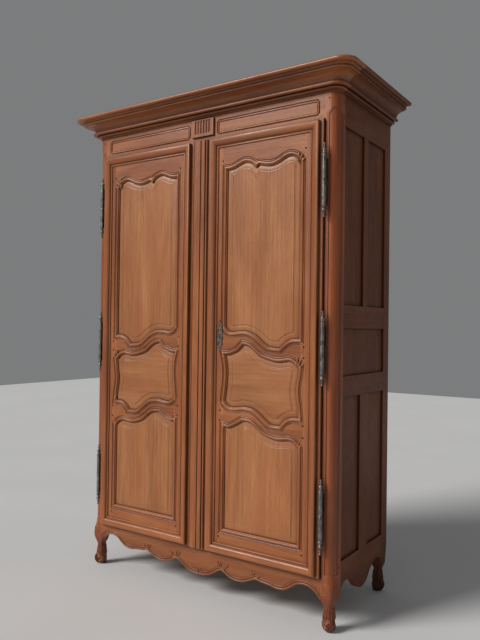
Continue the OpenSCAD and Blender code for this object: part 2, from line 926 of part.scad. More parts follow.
// two broad reeds and a narrow bead
module centre_batten() {
  w = batten_w;
  line = concat(
    [[0, 0], [0, 18]],
    arc(3, 18, 3, 180, 90, 3),
    arc(w * 0.44, 18, 3, 90, 0, 3),
    [[w * 0.48, 17]],
    arc(w * 0.52, 18, 3, 180, 90, 3),
    arc(w * 0.78, 18, 3, 90, 0, 3),
    [[w * 0.83, 16]],
    arc(w * 0.91, 17, 4, 170, 10, 5),
    [[w, 14], [w, 0]]
  );
  k = (tongue_y0 - batten_y0) / 22;
  color("#a56c3f") placed() translate([batten_x0, tongue_y0, leaf_z0])
    linear_extrude(leaf_z1 - leaf_z0) polygon([for (p = line) [p[0], -p[1] * k]]);
}

module left_pegs() {
  color("#6d4526") left_leaf_place() leaf_pegs(peg_r - 0.05, 0);
}

module left_hinge_knuckles() {
  color("#7a746c") placed() on_side(-1) knuckle_set();
}

// hole in the frieze or apron rail for the end of a bolt
module bar_hole(s) {
  z0 = s > 0 ? frieze_z0 - 1 : apron_z1 - hole_deep;
  z1 = s > 0 ? frieze_z0 + hole_deep : apron_z1 + 1;
  box([bar_x - bar_w / 2 - bar_gap, bar_y0 - bar_gap, z0],
      [bar_x + bar_w / 2 + bar_gap, bar_y0 + bar_t + bar_gap, z1]);
}

module slide_bar(z0) {
  box([bar_x - bar_w / 2, bar_y0, z0], [bar_x + bar_w / 2, bar_y0 + bar_t, z0 + bar_len]);
  translate([bar_x, bar_y0 + bar_t + 14, z0 + bar_len / 2]) rotate([90, 0, 0])
    cylinder(h = 14.5, r1 = 8, r2 = 5, $fn = 32);
}

top_bar_z = leaf_z1 - 6 - bar_len;
bottom_bar_z = leaf_z0 + 6;

module top_bolt() {
  color("#5d5a56") placed() slide_bar(top_bar_z);
}

module bottom_bolt() {
  color("#5d5a56") placed() slide_bar(bottom_bar_z);
}

guide_gap = 0.6;
guide_wall = 3;
guide_h = 22;

module guide(z) {
  difference() {
    box([bar_x - bar_w / 2 - 16, leaf_y1, z],
        [bar_x + bar_w / 2 + 16, bar_y0 + bar_t + guide_gap + guide_wall, z + guide_h]);
    box([bar_x - bar_w / 2 - guide_gap, bar_y0 - guide_gap, z - 1],
        [bar_x + bar_w / 2 + guide_gap, bar_y0 + bar_t + guide_gap, z + guide_h + 1]);
    for (s = [-1, 1])
      box([bar_x + s * (bar_w / 2 + 10) - 7, leaf_y1 + 3, z - 1],
          [bar_x + s * (bar_w / 2 + 10) + 7, leaf_y1 + 40, z + guide_h + 1]);
  }
}

module bolt_guides() {
  color("#5d5a56") placed() for (z0 = [top_bar_z, bottom_bar_z]) {
    guide(z0 + 20);
    guide(z0 + bar_len - 20 - guide_h);
  }
}

// pocket on the back of the meeting stile for the lock's bolt
module lock_keeper() {
  color("#5d5a56") placed() difference() {
    box([2, leaf_y1, lock_z - 16], [batten_x1 - 1, leaf_y1 + lock_t - 2, lock_z + 16]);
    box([6, leaf_y1 + 3, lock_z - bolt_w / 2 - 1],
        [batten_x1, leaf_y1 + 3 + bolt_t + 2, lock_z + bolt_w / 2 + 1]);
  }
}

// ---- right leaf ---------------------------------------------------------

module right_leaf_place() {
  placed() in_leaf() children();
}

module keyhole(y0, y1, grow) {
  peg_y(key_x, lock_z + 4, y0, y1, 4 + grow);
  box([key_x - 2 - grow, y0, lock_z - 12 - grow], [key_x + 2 + grow, y1, lock_z + 4]);
}

module right_hinge_stile() {
  color("#a56c3f") placed() difference() {
    in_leaf() leaf_stile(1);
    knuckle_slots(fit);
  }
}

module right_lock_stile() {
  color("#a56c3f") placed() difference() {
    in_leaf() leaf_stile(-1);
    keyhole(leaf_y0 - 1, leaf_y1 + 1, 0);
  }
}

module right_top_rail() {
  color("#a56c3f") right_leaf_place() leaf_rail(0);
}

module right_upper_mid_rail() {
  color("#a56c3f") right_leaf_place() leaf_rail(1);
}

module right_lower_mid_rail() {
  color("#a56c3f") right_leaf_place() leaf_rail(2);
}

module right_bottom_rail() {
  color("#a56c3f") right_leaf_place() leaf_rail(3);
}

module right_upper_panel() {
  color("#b07a4c") right_leaf_place() leaf_panel(0);
}

module right_middle_panel() {
  color("#b07a4c") right_leaf_place() leaf_panel(1);
}

module right_lower_panel() {
  color("#b07a4c") right_leaf_place() leaf_panel(2);
}

module right_moulding() {
  color("#b5835a") right_leaf_place() leaf_moulding();
}

module right_pegs() {
  color("#6d4526") right_leaf_place() leaf_pegs(peg_r - 0.05, 0);
}

module right_hinge_knuckles() {
  color("#7a746c") placed() knuckle_set();
}

escutcheon_t = 2;

// half outline of the pierced plate: half width, height above the keyhole
escutcheon_half = curve([
  [[0, -66], [6, -60], [4, -52], [10, -46], [13, -36], [9, -28], [14, -18],
   [15, -6], [11, 4], [15, 14], [14, 26], [8, 34], [12, 44], [9, 54], [3, 58], [0, 66]]
], 2);

module escutcheon() {
  pts = concat(escutcheon_half, [for (p = back_to_front(escutcheon_half)) [-p[0], p[1]]]);
  color("#4a4642") placed() difference() {
    plate(moved(pts, key_x, lock_z), leaf_y0 - escutcheon_t, leaf_y0);
    keyhole(leaf_y0 - 4, leaf_y0 + 1, 0);
    for (s = [-1, 1]) peg_y(key_x, lock_z + s * 36, leaf_y0 - 4, leaf_y0 + 1, 4);
  }
}

module lock_case() {
  z0 = lock_z - lock_h / 2;
  color("#5d5a56") placed() difference() {
    box([lock_x0, leaf_y1, z0], [lock_x1, leaf_y1 + lock_t, z0 + lock_h]);
    box([lock_x0 + lock_wall, leaf_y1 + lock_wall, z0 + lock_wall],
        [lock_x1 - lock_wall, leaf_y1 + lock_t - lock_wall, z0 + lock_h - lock_wall]);
    box([lock_x0 - 1, leaf_y1 + 4 - 0.5, lock_z - bolt_w / 2 - 0.5],
        [lock_x0 + 5, leaf_y1 + 4 + bolt_t + 0.5, lock_z + bolt_w / 2 + 0.5]);
    keyhole(leaf_y1 - 1, leaf_y1 + 5, 0.5);
  }
}

module lock_bolt() {
  color("#6c6862") placed()
    box([lock_x0 - 2, leaf_y1 + 4, lock_z - bolt_w / 2],
        [lock_x0 + bolt_len, leaf_y1 + 4 + bolt_t, lock_z + bolt_w / 2]);
}

front_post_left();
front_post_right();
rear_post_left();
rear_post_right();
frieze_rail();
fluted_block();
apron_rail();
side_top_rail_left();
side_top_rail_right();
side_mid_rails();
side_bottom_rail_left();
side_bottom_rail_right();
side_muntins();
side_panels_left();
side_panels_right();
back_rails();
back_boards();
floor_boards();
ceiling_boards();
cornice_front();
cornice_sides();
shelves();
cleats();
case_pegs();
hinge_pintles();
left_hinge_stile();
left_meeting_stile();
left_top_rail();
left_upper_mid_rail();
left_lower_mid_rail();
left_bottom_rail();
left_upper_panel();
left_middle_panel();
left_lower_panel();
left_moulding();
centre_batten();
left_pegs();
left_hinge_knuckles();
top_bolt();
bottom_bolt();
bolt_guides();
lock_keeper();
right_hinge_stile();
right_lock_stile();
right_top_rail();
right_upper_mid_rail();
right_lower_mid_rail();
right_bottom_rail();
right_upper_panel();
right_middle_panel();
right_lower_panel();
right_moulding();
right_pegs();
right_hinge_knuckles();
escutcheon();
lock_case();
lock_bolt();
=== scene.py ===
import math

import bmesh
import bpy
import numpy as np
from mathutils import Matrix, Vector


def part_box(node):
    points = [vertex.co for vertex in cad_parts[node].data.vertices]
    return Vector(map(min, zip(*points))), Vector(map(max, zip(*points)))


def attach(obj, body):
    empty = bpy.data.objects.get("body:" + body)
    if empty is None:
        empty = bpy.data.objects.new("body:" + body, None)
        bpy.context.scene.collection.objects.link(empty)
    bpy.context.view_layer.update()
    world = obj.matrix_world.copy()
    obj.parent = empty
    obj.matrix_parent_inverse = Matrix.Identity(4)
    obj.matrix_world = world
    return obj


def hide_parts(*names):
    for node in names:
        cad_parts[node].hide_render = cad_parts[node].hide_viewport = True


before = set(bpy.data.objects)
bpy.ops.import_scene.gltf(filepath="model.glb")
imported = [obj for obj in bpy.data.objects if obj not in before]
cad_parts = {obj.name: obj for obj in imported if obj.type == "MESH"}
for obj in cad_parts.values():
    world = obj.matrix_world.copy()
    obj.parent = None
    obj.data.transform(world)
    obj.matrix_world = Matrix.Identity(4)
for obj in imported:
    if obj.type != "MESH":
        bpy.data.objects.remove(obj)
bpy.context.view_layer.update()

# Shapes below are in millimetres: x to the right, y back from the face of the case, z up.
FACE_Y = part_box("frieze_rail")[0].y * 1000
HALF_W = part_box("side_mid_rails")[1].x * 1000
POST_IN = HALF_W - 51
CASE_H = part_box("frieze_rail")[1].z * 1000
CASE_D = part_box("rear_post_right")[1].y * 1000 - FACE_Y
LEAF_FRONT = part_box("right_bottom_rail")[0].y * 1000 - FACE_Y
LEAF_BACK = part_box("right_bottom_rail")[1].y * 1000 - FACE_Y
LEAF_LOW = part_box("right_lock_stile")[0].z * 1000
LEAF_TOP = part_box("right_lock_stile")[1].z * 1000
LEAF_MID = 320.0
LEAF_HALF = 278.0
SIGHT = 178.0
STUCK_W = 25.0
CORNER_R = 34.0


# ---- curves ---------------------------------------------------------------

def smooth_run(points, steps):
    """Cubic run through the control points."""
    p = [np.array(q, float) for q in points]
    out = []
    for i in range(len(p) - 1):
        a, b, c, d = p[max(i - 1, 0)], p[i], p[i + 1], p[min(i + 2, len(p) - 1)]
        for k in range(steps):
            t = k / steps
            out.append(0.5 * (2 * b + (c - a) * t + (2 * a - 5 * b + 4 * c - d) * t * t
                              + (3 * b - a - 3 * c + d) * t ** 3))
    out.append(p[-1])
    return np.array(out)


def arc(cx, cy, r, a0, a1, n):
    """Points of a circular arc, in degrees."""
    a = np.radians(np.linspace(a0, a1, n + 1))
    return [(cx + r * math.cos(t), cy + r * math.sin(t)) for t in a]


def offset_line(pts, t):
    """A polyline moved t to its right-hand side, with its ends drawn out."""
    p = np.array(pts, float)
    reach = 3 * abs(t) + 4
    first, last = p[0] - p[1], p[-1] - p[-2]
    p = np.vstack([p[0] + first / np.linalg.norm(first) * reach, p,
                   p[-1] + last / np.linalg.norm(last) * reach])
    d = np.diff(p, axis=0)
    d /= np.linalg.norm(d, axis=1)[:, None]
    n = np.stack([d[:, 1], -d[:, 0]], 1)
    m = np.vstack([n[0], (n[1:] + n[:-1]) / 2, n[-1]])
    m /= np.maximum((m ** 2).sum(1), 0.3)[:, None]
    return untangled(p + m * t)


def untangled(p):
    """The polyline with the small loops of a tight offset cut away."""
    i = 0
    while i < len(p) - 3:
        got = crossing(p[i:i + 2], p[i + 2:], p[i])
        if got is not None and 1e-6 < got[0] < 1 - 1e-6:
            p = np.vstack([p[:i + 1], got[2], p[i + 3 + int(got[1]):]])
        i += 1
    return p


def crossing(a, b, near):
    """Where polylines a and b cross, closest to near: place on a, place on b, point."""
    a0, a1, b0, b1 = a[:-1, None], a[1:, None], b[None, :-1], b[None, 1:]
    r, s, w = a1 - a0, b1 - b0, b0 - a0
    den = r[..., 0] * s[..., 1] - r[..., 1] * s[..., 0]
    den = np.where(abs(den) < 1e-12, 1e-12, den)
    u = (w[..., 0] * s[..., 1] - w[..., 1] * s[..., 0]) / den
    v = (w[..., 0] * r[..., 1] - w[..., 1] * r[..., 0]) / den
    ok = (u >= -1e-9) & (u <= 1 + 1e-9) & (v >= -1e-9) & (v <= 1 + 1e-9)
    if not ok.any():
        return None
    pts = a0 + r * u[..., None]
    dist = np.where(ok, np.linalg.norm(pts - np.array(near), axis=2), 1e9)
    i, j = np.unravel_index(dist.argmin(), dist.shape)
    return i + u[i, j], j + v[i, j], pts[i, j]


def cut_out(line, s0, p0, s1, p1, n):
    """The stretch of a polyline from place s0 to s1, as n + 1 points."""
    inner = [line[k] for k in range(int(math.floor(s0)) + 1, int(math.ceil(s1)))]
    pts = np.array([p0, *inner, p1])
    seg = np.linalg.norm(np.diff(pts, axis=0), axis=1)
    run = np.concatenate([[0], np.cumsum(seg)])
    at = np.linspace(0, run[-1], n + 1)
    return np.stack([np.interp(at, run, pts[:, 0]), np.interp(at, run, pts[:, 1])], 1)


def ring(runs, section, step=4.0, still=()):
    """Closed outline of runs, anticlockwise: for each run a grid [level][place] of (u, z, h).
    section is a list of (distance outwards, height); the runs in still do not move outwards."""
    corners = [r[0] for r in runs]
    counts = [2 if len(r) == 2 else max(4, int(round(
        np.linalg.norm(np.diff(r, axis=0), axis=1).sum() / step))) for r in runs]
    grids = [[] for _ in runs]
    for t, h in section:
        lines = [offset_line(r, 1e-6 if i in still else t) for i, r in enumerate(runs)]
        meet = []
        for i in range(len(runs)):
            got = crossing(lines[i - 1], lines[i], corners[i])
            if got is None:
                mid = (lines[i - 1][-2] + lines[i][1]) / 2
                got = (len(lines[i - 1]) - 2.0, 1.0, mid)
            meet.append(got)
        for i in range(len(runs)):
            a, b = meet[i], meet[(i + 1) % len(runs)]
            p = cut_out(lines[i], a[1], a[2], b[0], b[2], counts[i])
            grids[i].append(np.column_stack([p, np.full(len(p), h)]))
    return [np.array(g) for g in grids]


# ---- mesh building ----------------------------------------------------------

class Shape:
    """Collects faces in millimetres, then becomes a Blender object."""

    def __init__(self):
        self.verts, self.faces, self.flat, self.mats = [], [], [], []

    def add(self, pts):
        base = len(self.verts)
        self.verts.extend(tuple(float(c) for c in p) for p in pts)
        return list(range(base, base + len(pts)))

    def face(self, pts, flat=True):
        clean = [p for i, p in enumerate(pts)
                 if np.linalg.norm(np.array(p) - np.array(pts[i - 1])) > 0.015]
        if len(clean) > 2:
            self.faces.append(self.add(clean))
            self.flat.append(flat)
            self.mats.append(0)

    def grid(self, rows, mat=0, wrap=False, flat=False):
        """Quads between rows of points."""
        ids = [self.add(r) for r in rows]
        n = len(ids[0])
        for a, b in zip(ids, ids[1:]):
            for j in range(n if wrap else n - 1):
                k = (j + 1) % n
                self.faces.append([a[j], a[k], b[k], b[j]])
                self.flat.append(flat)
                self.mats.append(mat)

    def solid(self, rows):
        """Closed rings joined one to the next, with a flat face at each end."""
        self.grid(rows, wrap=True)
        self.face(rows[0])
        self.face(rows[-1])

    def fill(self, loops):
        """Flat region between an outer loop and its holes."""
        bm = bmesh.new()
        edges = []
        for loop in loops:
            vs = [bm.verts.new(p) for p in loop]
            edges += [bm.edges.new((vs[i - 1], vs[i])) for i in range(len(vs))]
        bmesh.ops.triangle_fill(bm, use_beauty=True, use_dissolve=False, edges=edges)
        for f in bm.faces:
            self.face([tuple(v.co) for v in f.verts])
        bm.free()

    def make(self, name, body, materials, replaces=(), angle=32, side=1, weld=0.02):
        """side -1 mirrors the shape to the left-hand side."""
        me = bpy.data.meshes.new(name)
        co = [(side * x / 1000, (y + FACE_Y) / 1000, z / 1000) for x, y, z in self.verts]
        me.from_pydata(co, [], self.faces)
        for p, flat, mat in zip(me.polygons, self.flat, self.mats):
            p.use_smooth = not flat
            p.material_index = mat
        bm = bmesh.new()
        bm.from_mesh(me)
        bmesh.ops.remove_doubles(bm, verts=bm.verts, dist=weld / 1000)
        bmesh.ops.dissolve_degenerate(bm, dist=weld / 2000, edges=bm.edges)
        bmesh.ops.recalc_face_normals(bm, faces=bm.faces)
        bm.to_mesh(me)
        bm.free()
        smooth = [p.use_smooth for p in me.polygons]
        me.set_sharp_from_angle(angle=math.radians(angle))
        me.polygons.foreach_set("use_smooth", smooth)
        o = bpy.data.objects.new(name, me)
        bpy.context.scene.collection.objects.link(o)
        for m in materials:
            me.materials.append(m)
        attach(o, body)
        if replaces:
            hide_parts(*replaces)
        return o


def lathe(shape, line, cx, cy, n=40):
    """Turned piece about a vertical axis: line is (radius, height)."""
    rows = [[(cx + r * math.cos(2 * math.pi * k / n), cy + r * math.sin(2 * math.pi * k / n), z)
             for k in range(n)] for r, z in line]
    shape.grid(rows, wrap=True)
    for row, (r, _) in ((rows[0], line[0]), (rows[-1], line[-1])):
        if r > 0.05:
            shape.face(row)


def tube(shape, path, radii, flatten, n=10):
    """Tapered round rod along a path in the plane of the doors, flattened towards it."""
    p = np.array(path, float)
    rows = []
    for i in range(len(p)):
        d = p[min(i + 1, len(p) - 1)] - p[max(i - 1, 0)]
        d /= max(np.linalg.norm(d), 1e-9)
        side = np.cross(d, (0, 1, 0))
        side /= max(np.linalg.norm(side), 1e-9)
        up = np.cross(side, d)
        r = radii[i]
        rows.append([tuple(p[i] + r * (math.cos(a) * side + flatten * math.sin(a) * up))
                     for a in np.linspace(0, 2 * math.pi, n, endpoint=False)])
    shape.grid(rows, wrap=True)
    shape.face(rows[0], False)
    shape.face(rows[-1], False)


# ---- materials ----------------------------------------------------------------

def nodes_of(name):
    m = bpy.data.materials.new(name)
    m.use_nodes = True
    nt = m.node_tree
    nt.nodes.clear()
    out = nt.nodes.new("ShaderNodeOutputMaterial")
    bsdf = nt.nodes.new("ShaderNodeBsdfPrincipled")
    nt.links.new(bsdf.outputs[0], out.inputs[0])
    return m, nt, bsdf


def feed(nt, socket, v):
    """Sets a socket to a number or a colour, or links an output to it."""
    if isinstance(v, (int, float)):
        socket.default_value = v
    elif isinstance(v, tuple):
        socket.default_value = (*v, 1.0)
    else:
        nt.links.new(v, socket)


def math_node(nt, op, a, b=0.0):
    n = nt.nodes.new("ShaderNodeMath")
    n.operation = op
    feed(nt, n.inputs[0], a)
    feed(nt, n.inputs[1], b)
    return n.outputs[0]


def times(nt, a, b):
    return math_node(nt, "MULTIPLY", a, b)


def plus(nt, a, b):
    return math_node(nt, "ADD", a, b)


def mix_node(nt, fac, a, b):
    n = nt.nodes.new("ShaderNodeMix")
    n.data_type = "RGBA"
    n.clamp_factor = True
    for i, v in ((0, fac), (6, a), (7, b)):
        feed(nt, n.inputs[i], v)
    return n.outputs[2]


def noise_node(nt, vec, scale, detail=4.0, rough=0.55, distort=0.0):
    n = nt.nodes.new("ShaderNodeTexNoise")
    nt.links.new(vec, n.inputs["Vector"])
    n.inputs["Scale"].default_value = scale
    n.inputs["Detail"].default_value = detail
    n.inputs["Roughness"].default_value = rough
    n.inputs["Distortion"].default_value = distort
    return n.outputs["Fac"]


def range_node(nt, v, lo, hi, to_lo=0.0, to_hi=1.0):
    n = nt.nodes.new("ShaderNodeMapRange")
    n.clamp = True
    nt.links.new(v, n.inputs[0])
    for i, x in ((1, lo), (2, hi), (3, to_lo), (4, to_hi)):
        n.inputs[i].default_value = x
    return n.outputs[0]


def mapped(nt, source, scale, offset):
    n = nt.nodes.new("ShaderNodeMapping")
    n.inputs["Scale"].default_value = scale
    n.inputs["Location"].default_value = offset
    nt.links.new(source, n.inputs["Vector"])
    return n.outputs[0]


def hollow_node(nt, distance, samples, inside=False):
    n = nt.nodes.new("ShaderNodeAmbientOcclusion")
    n.inside = inside
    n.samples = samples
    n.inputs["Distance"].default_value = distance
    return n.outputs["AO"]


def split_xyz(nt, co):
    n = nt.nodes.new("ShaderNodeSeparateXYZ")
    nt.links.new(co, n.inputs[0])
    return n.outputs


def add_bump(nt, bsdf, height, strength, distance):
    n = nt.nodes.new("ShaderNodeBump")
    n.inputs["Strength"].default_value = strength
    n.inputs["Distance"].default_value = distance
    nt.links.new(height, n.inputs["Height"])
    nt.links.new(n.outputs[0], bsdf.inputs["Normal"])


# number of the axis along the grain, and of the one across it
GRAIN = {"x": (0, 1), "y": (1, 0), "z": (2, 0)}
WOODS = {
    "front": dict(light=(0.415, 0.142, 0.042), dark=(0.165, 0.042, 0.0105),
                  red=(0.225, 0.046, 0.0105), rough=0.38, coat=0.22, spec=0.34),
    "panel": dict(light=(0.440, 0.180, 0.068), dark=(0.225, 0.078, 0.0240),
                  red=(0.295, 0.082, 0.0230), rough=0.42, coat=0.12, spec=0.30),
    "post": dict(light=(0.400, 0.112, 0.034), dark=(0.155, 0.034, 0.0095),
                 red=(0.250, 0.044, 0.0105), rough=0.36, coat=0.16, spec=0.34),
    # the sides' walnut is painted darker than the front's: painted shade of the sides turned from
    # the light
    "side": dict(light=(0.205, 0.064, 0.0220), dark=(0.088, 0.025, 0.0085),
                 red=(0.140, 0.031, 0.0095), rough=0.46, coat=0.05, spec=0.20),
    "inner": dict(light=(0.34, 0.215, 0.120), dark=(0.20, 0.110, 0.055),
                  red=(0.26, 0.140, 0.075), rough=0.74, coat=0.0, spec=0.30),
    "peg": dict(light=(0.25, 0.080, 0.026), dark=(0.110, 0.030, 0.0090),
                red=(0.17, 0.036, 0.0095), rough=0.50, coat=0.05, spec=0.30),
}
_woods = {}


def wood(kind, axis, seed=0, board=None):
    """Waxed or dry timber with its grain along axis; board is (axis across the boards, pitch)."""
    key = (kind, axis, seed, board)
    if key in _woods:
        return _woods[key]
    w = WOODS[kind]
    m, nt, bsdf = nodes_of(f"wood_{kind}_{axis}{seed}")
    along, across = GRAIN[axis]
    co = nt.nodes.new("ShaderNodeTexCoord").outputs["Object"]
    off = (seed * 1.37 + 0.31, seed * 2.11 + 0.17, seed * 0.73 + 0.57)

    def stretch(a, c):
        s = [c, c, c]
        s[along] = a
        return mapped(nt, co, tuple(s), off)

    tone = noise_node(nt, stretch(1.3, 7.0), 1.0, 4.0, 0.55, 0.8)
    figure_at = stretch(1.1, 11.0)
    figure = nt.nodes.new("ShaderNodeTexWave")
    figure.wave_type = "BANDS"
    figure.bands_direction = "XYZ"[across]
    figure.wave_profile = "SIN"
    nt.links.new(figure_at, figure.inputs["Vector"])
    figure.inputs["Scale"].default_value = 1.5
    figure.inputs["Distortion"].default_value = 7.5
    figure.inputs["Detail"].default_value = 2.5
    figure.inputs["Detail Scale"].default_value = 0.7
    streak = noise_node(nt, stretch(4.0, 110.0), 1.0, 6.0, 0.66, 0.5)
    fine = noise_node(nt, stretch(34.0, 1100.0), 1.0, 2.0, 0.5, 0.4)
    blot = noise_node(nt, stretch(1.6, 6.5), 1.0, 4.0, 0.6, 0.8)
    wear = noise_node(nt, mapped(nt, co, (1, 1, 1), off), 26.0, 4.0, 0.6)

    f = times(nt, range_node(nt, tone, 0.36, 0.64), 0.50)
    f = plus(nt, f, times(nt, figure.outputs["Fac"], 0.12))
    f = plus(nt, f, times(nt, range_node(nt, streak, 0.32, 0.68), 0.40))
    col = mix_node(nt, f, w["dark"], w["light"])
    col = mix_node(nt, range_node(nt, blot, 0.46, 0.72, 0.0, 0.62), col, w["red"])
    pores = range_node(nt, fine, 0.60, 0.70)
    col = mix_node(nt, times(nt, pores, 0.42), col, tuple(c * 0.30 for c in w["dark"]))
    if board:
        # each board of the set has its own tone
        which = math_node(nt, "FLOOR",
                          math_node(nt, "DIVIDE", split_xyz(nt, co)[board[0]], board[1]))
        rnd = nt.nodes.new("ShaderNodeTexWhiteNoise")
        rnd.noise_dimensions = "1D"
        nt.links.new(which, rnd.inputs["W"])
        col = mix_node(nt, range_node(nt, rnd.outputs["Value"], 0.0, 1.0, 0.0, 0.38), col,
                       tuple(c * 0.62 for c in w["dark"]))
    # the foot of the piece is darker towards the floor
    darker_near_floor = range_node(nt, plus(nt, split_xyz(nt, co)[2], times(nt, blot, 0.12)),
                       0.10, 0.27, 0.72, 0.0)
    col = mix_node(nt, darker_near_floor, col, tuple(c * 0.42 for c in w["dark"]))
    # painted shade darkens the hollows
    painted_hollow_shade = range_node(nt, hollow_node(nt, 0.026, 8), 0.34, 0.95, 1.0, 0.0)
    painted_hollow_shade = times(nt, painted_hollow_shade, range_node(nt, wear, 0.3, 0.7, 0.8, 1.0))
    col = mix_node(nt, painted_hollow_shade, col, tuple(c * 0.12 for c in w["red"]))
    # handling wear and a painted highlight brighten the edges
    edge_wear_and_highlight = range_node(nt, hollow_node(nt, 0.0025, 6, True), 0.45, 0.92, 1.0, 0.0)
    edge_wear_and_highlight = times(nt, edge_wear_and_highlight, range_node(nt, wear, 0.35, 0.65, 0.10, 0.50))
    col = mix_node(nt, edge_wear_and_highlight, col, tuple(min(1.0, c * 1.35 + 0.03) for c in w["light"]))
    nt.links.new(col, bsdf.inputs["Base Color"])
    r = plus(nt, range_node(nt, wear, 0.25, 0.75, w["rough"] - 0.06, w["rough"] + 0.10),
             times(nt, pores, 0.15))
    r = plus(nt, r, times(nt, painted_hollow_shade, 0.25))
    nt.links.new(r, bsdf.inputs["Roughness"])
    bsdf.inputs["Coat Weight"].default_value = w["coat"]
    bsdf.inputs["Coat Roughness"].default_value = 0.24
    bsdf.inputs["Specular IOR Level"].default_value = w["spec"]
    relief = math_node(nt, "SUBTRACT", times(nt, streak, 0.5), times(nt, pores, 0.8))
    add_bump(nt, bsdf, plus(nt, relief, times(nt, wear, 0.15)), 0.55, 0.00035)
    _woods[key] = m
    return m


def metal(name, light, dark, rust, rough, amount):
    m, nt, bsdf = nodes_of(name)
    co = nt.nodes.new("ShaderNodeTexCoord").outputs["Object"]
    big = noise_node(nt, co, 55.0, 5.0, 0.62, 0.5)
    small = noise_node(nt, co, 420.0, 3.0, 0.6)
    dirt = range_node(nt, hollow_node(nt, 0.006, 6), 0.35, 0.9, 0.9, 0.0)
    col = mix_node(nt, range_node(nt, big, 0.35, 0.65), dark, light)
    spots = times(nt, range_node(nt, small, 0.45, 0.62), amount)
    spots = math_node(nt, "MAXIMUM", spots, times(nt, dirt, 0.85))
    col = mix_node(nt, spots, col, rust)
    nt.links.new(col, bsdf.inputs["Base Color"])
    nt.links.new(math_node(nt, "SUBTRACT", 1.0, times(nt, spots, 0.8)), bsdf.inputs["Metallic"])
    nt.links.new(plus(nt, range_node(nt, big, 0.3, 0.7, rough - 0.05, rough + 0.12),
                      times(nt, spots, 0.3)), bsdf.inputs["Roughness"])
    add_bump(nt, bsdf, plus(nt, big, times(nt, small, 0.5)), 0.5, 0.0003)
    return m


STEEL = metal("steel_worn", (0.34, 0.31, 0.29), (0.14, 0.125, 0.115), (0.040, 0.026, 0.020),
              0.34, 0.45)
IRON = metal("iron_dark", (0.20, 0.18, 0.17), (0.085, 0.075, 0.070), (0.045, 0.026, 0.018),
             0.46, 0.55)


# ---- door leaves ---------------------------------------------------------------

UP_TOP = [
    [[-178, 1849], [-164, 1849], [-140, 1854], [-114, 1864], [-88, 1871],
     [-63, 1866], [-46, 1856], [-33, 1842]],
    [[-33, 1842], [-23, 1852], [-8, 1850], [12, 1845], [36, 1842], [60, 1845],
     [84, 1853], [106, 1864], [130, 1870], [148, 1866], [165, 1856], [178, 1842]]]
UP_BOT = [
    [[-178, 1176], [-165, 1163], [-146, 1156], [-107, 1160], [-72, 1160],
     [-40, 1150], [-14, 1136], [6, 1120], [26, 1106], [48, 1097], [88, 1094]],
    [[88, 1094], [103, 1108], [122, 1122], [146, 1132], [178, 1134]]]
MID_TOP = [
    [[-178, 1056], [-158, 1058], [-137, 1065], [-115, 1075], [-100, 1088], [-88, 1100]],
    [[-88, 1100], [-71, 1098], [-48, 1088], [-28, 1073], [-9, 1058], [16, 1048],
     [42, 1041], [66, 1036], [89, 1035], [112, 1038], [131, 1041], [148, 1037],
     [163, 1029], [178, 1015]]]
MID_BOT = [
    [[-178, 862], [-168, 848], [-148, 838], [-125, 838], [-89, 844], [-64, 843],
     [-37, 839], [-10, 826], [14, 808], [38, 790], [56, 781], [93, 780]],
    [[93, 780], [106, 796], [126, 811], [150, 819], [178, 820]]]
LOW_TOP = [
    [[-178, 748], [-160, 746], [-134, 755], [-108, 769], [-88, 781]],
    [[-88, 781], [-63, 780], [-40, 773], [-16, 756], [4, 741], [29, 729],
     [54, 722], [78, 718], [102, 719], [130, 723], [146, 721], [160, 715], [178, 700]]]
BOW_LOCK = [[862, 0], [890, 3], [930, 8], [985, 11], [1030, 6], [1056, 0]]
BOW_HINGE = [[820, 0], [865, 4], [900, 10], [935, 12], [980, 5], [1015, 0]]
LOW_Z = 318.0
FINE = 8


def forward(runs):
    return [smooth_run(r, FINE) for r in runs]


def backward(runs):
    return [smooth_run(r, FINE)[::-1] for r in reversed(runs)]


def line(a, b):
    return np.array([a, b], float)


def opening(k):
    """Runs round a panel opening: their part of the frame (bottom, right, top, left) and points."""
    if k == 0:
        bot, top = forward(UP_BOT), backward(UP_TOP)
    elif k == 1:
        bot, top = forward(MID_BOT), backward(MID_TOP)
    else:
        bot, top = [line((-SIGHT, LOW_Z), (SIGHT, LOW_Z))], backward(LOW_TOP)
    if k == 1:
        right = smooth_run([[SIGHT - b, z] for z, b in BOW_HINGE], FINE)
        left = smooth_run([[b - SIGHT, z] for z, b in BOW_LOCK], FINE)[::-1]
    else:
        right = line(bot[-1][-1], top[0][0])
        left = line(top[-1][-1], bot[0][0])
    parts = ["bottom"] * len(bot) + ["right"] + ["top"] * len(top) + ["left"]
    return parts, bot + [right] + top + [left]


# distance out from the sight edge, height above the face of the leaf
STUCK = [(25, 0), (24.4, -0.6), (24.0, -2.6), (23.2, -3.0), (22.4, -2.2), (21.0, -0.9),
         (19.5, -0.6), (18.2, -1.4), (17.4, -2.4), (16.6, -2.4), (15.8, -1.2), (14.6, 0.6),
         (12.6, 1.9), (10.2, 2.4), (7.8, 2.2), (6.0, 1.4), (4.8, 0.1), (4.0, -1.6),
         (3.4, -3.0), (2.4, -3.6), (0.8, -3.8), (0.1, -4.6), (0, -9.9), (8.2, -9.9),
         (8.2, -18.1), (0, -18.1), (0, -27.2), (0.8, -28)]
PANEL = [(8, -18), (8, -10), (0.4, -10), (-0.3, -8.6), (-2, -7.6), (-5, -6.6), (-10, -5.8),
         (-16, -5.2), (-20, -4.9), (-21.5, -5.4), (-22.6, -4.8), (-26, -4.5), (-27, -5.2),
         (-28, -4.2), (-29.5, -3.6)]
EASED = [(1.2, 0), (0.5, -0.25), (0.12, -0.8), (0, -1.6), (0, -26.4), (0.12, -27.2),
         (0.5, -27.75), (1.2, -28)]
FRAME_GRIDS = [(opening(k)[0], ring(opening(k)[1], STUCK)) for k in range(3)]
PANEL_GRIDS = [ring(opening(k)[1], PANEL) for k in range(3)]


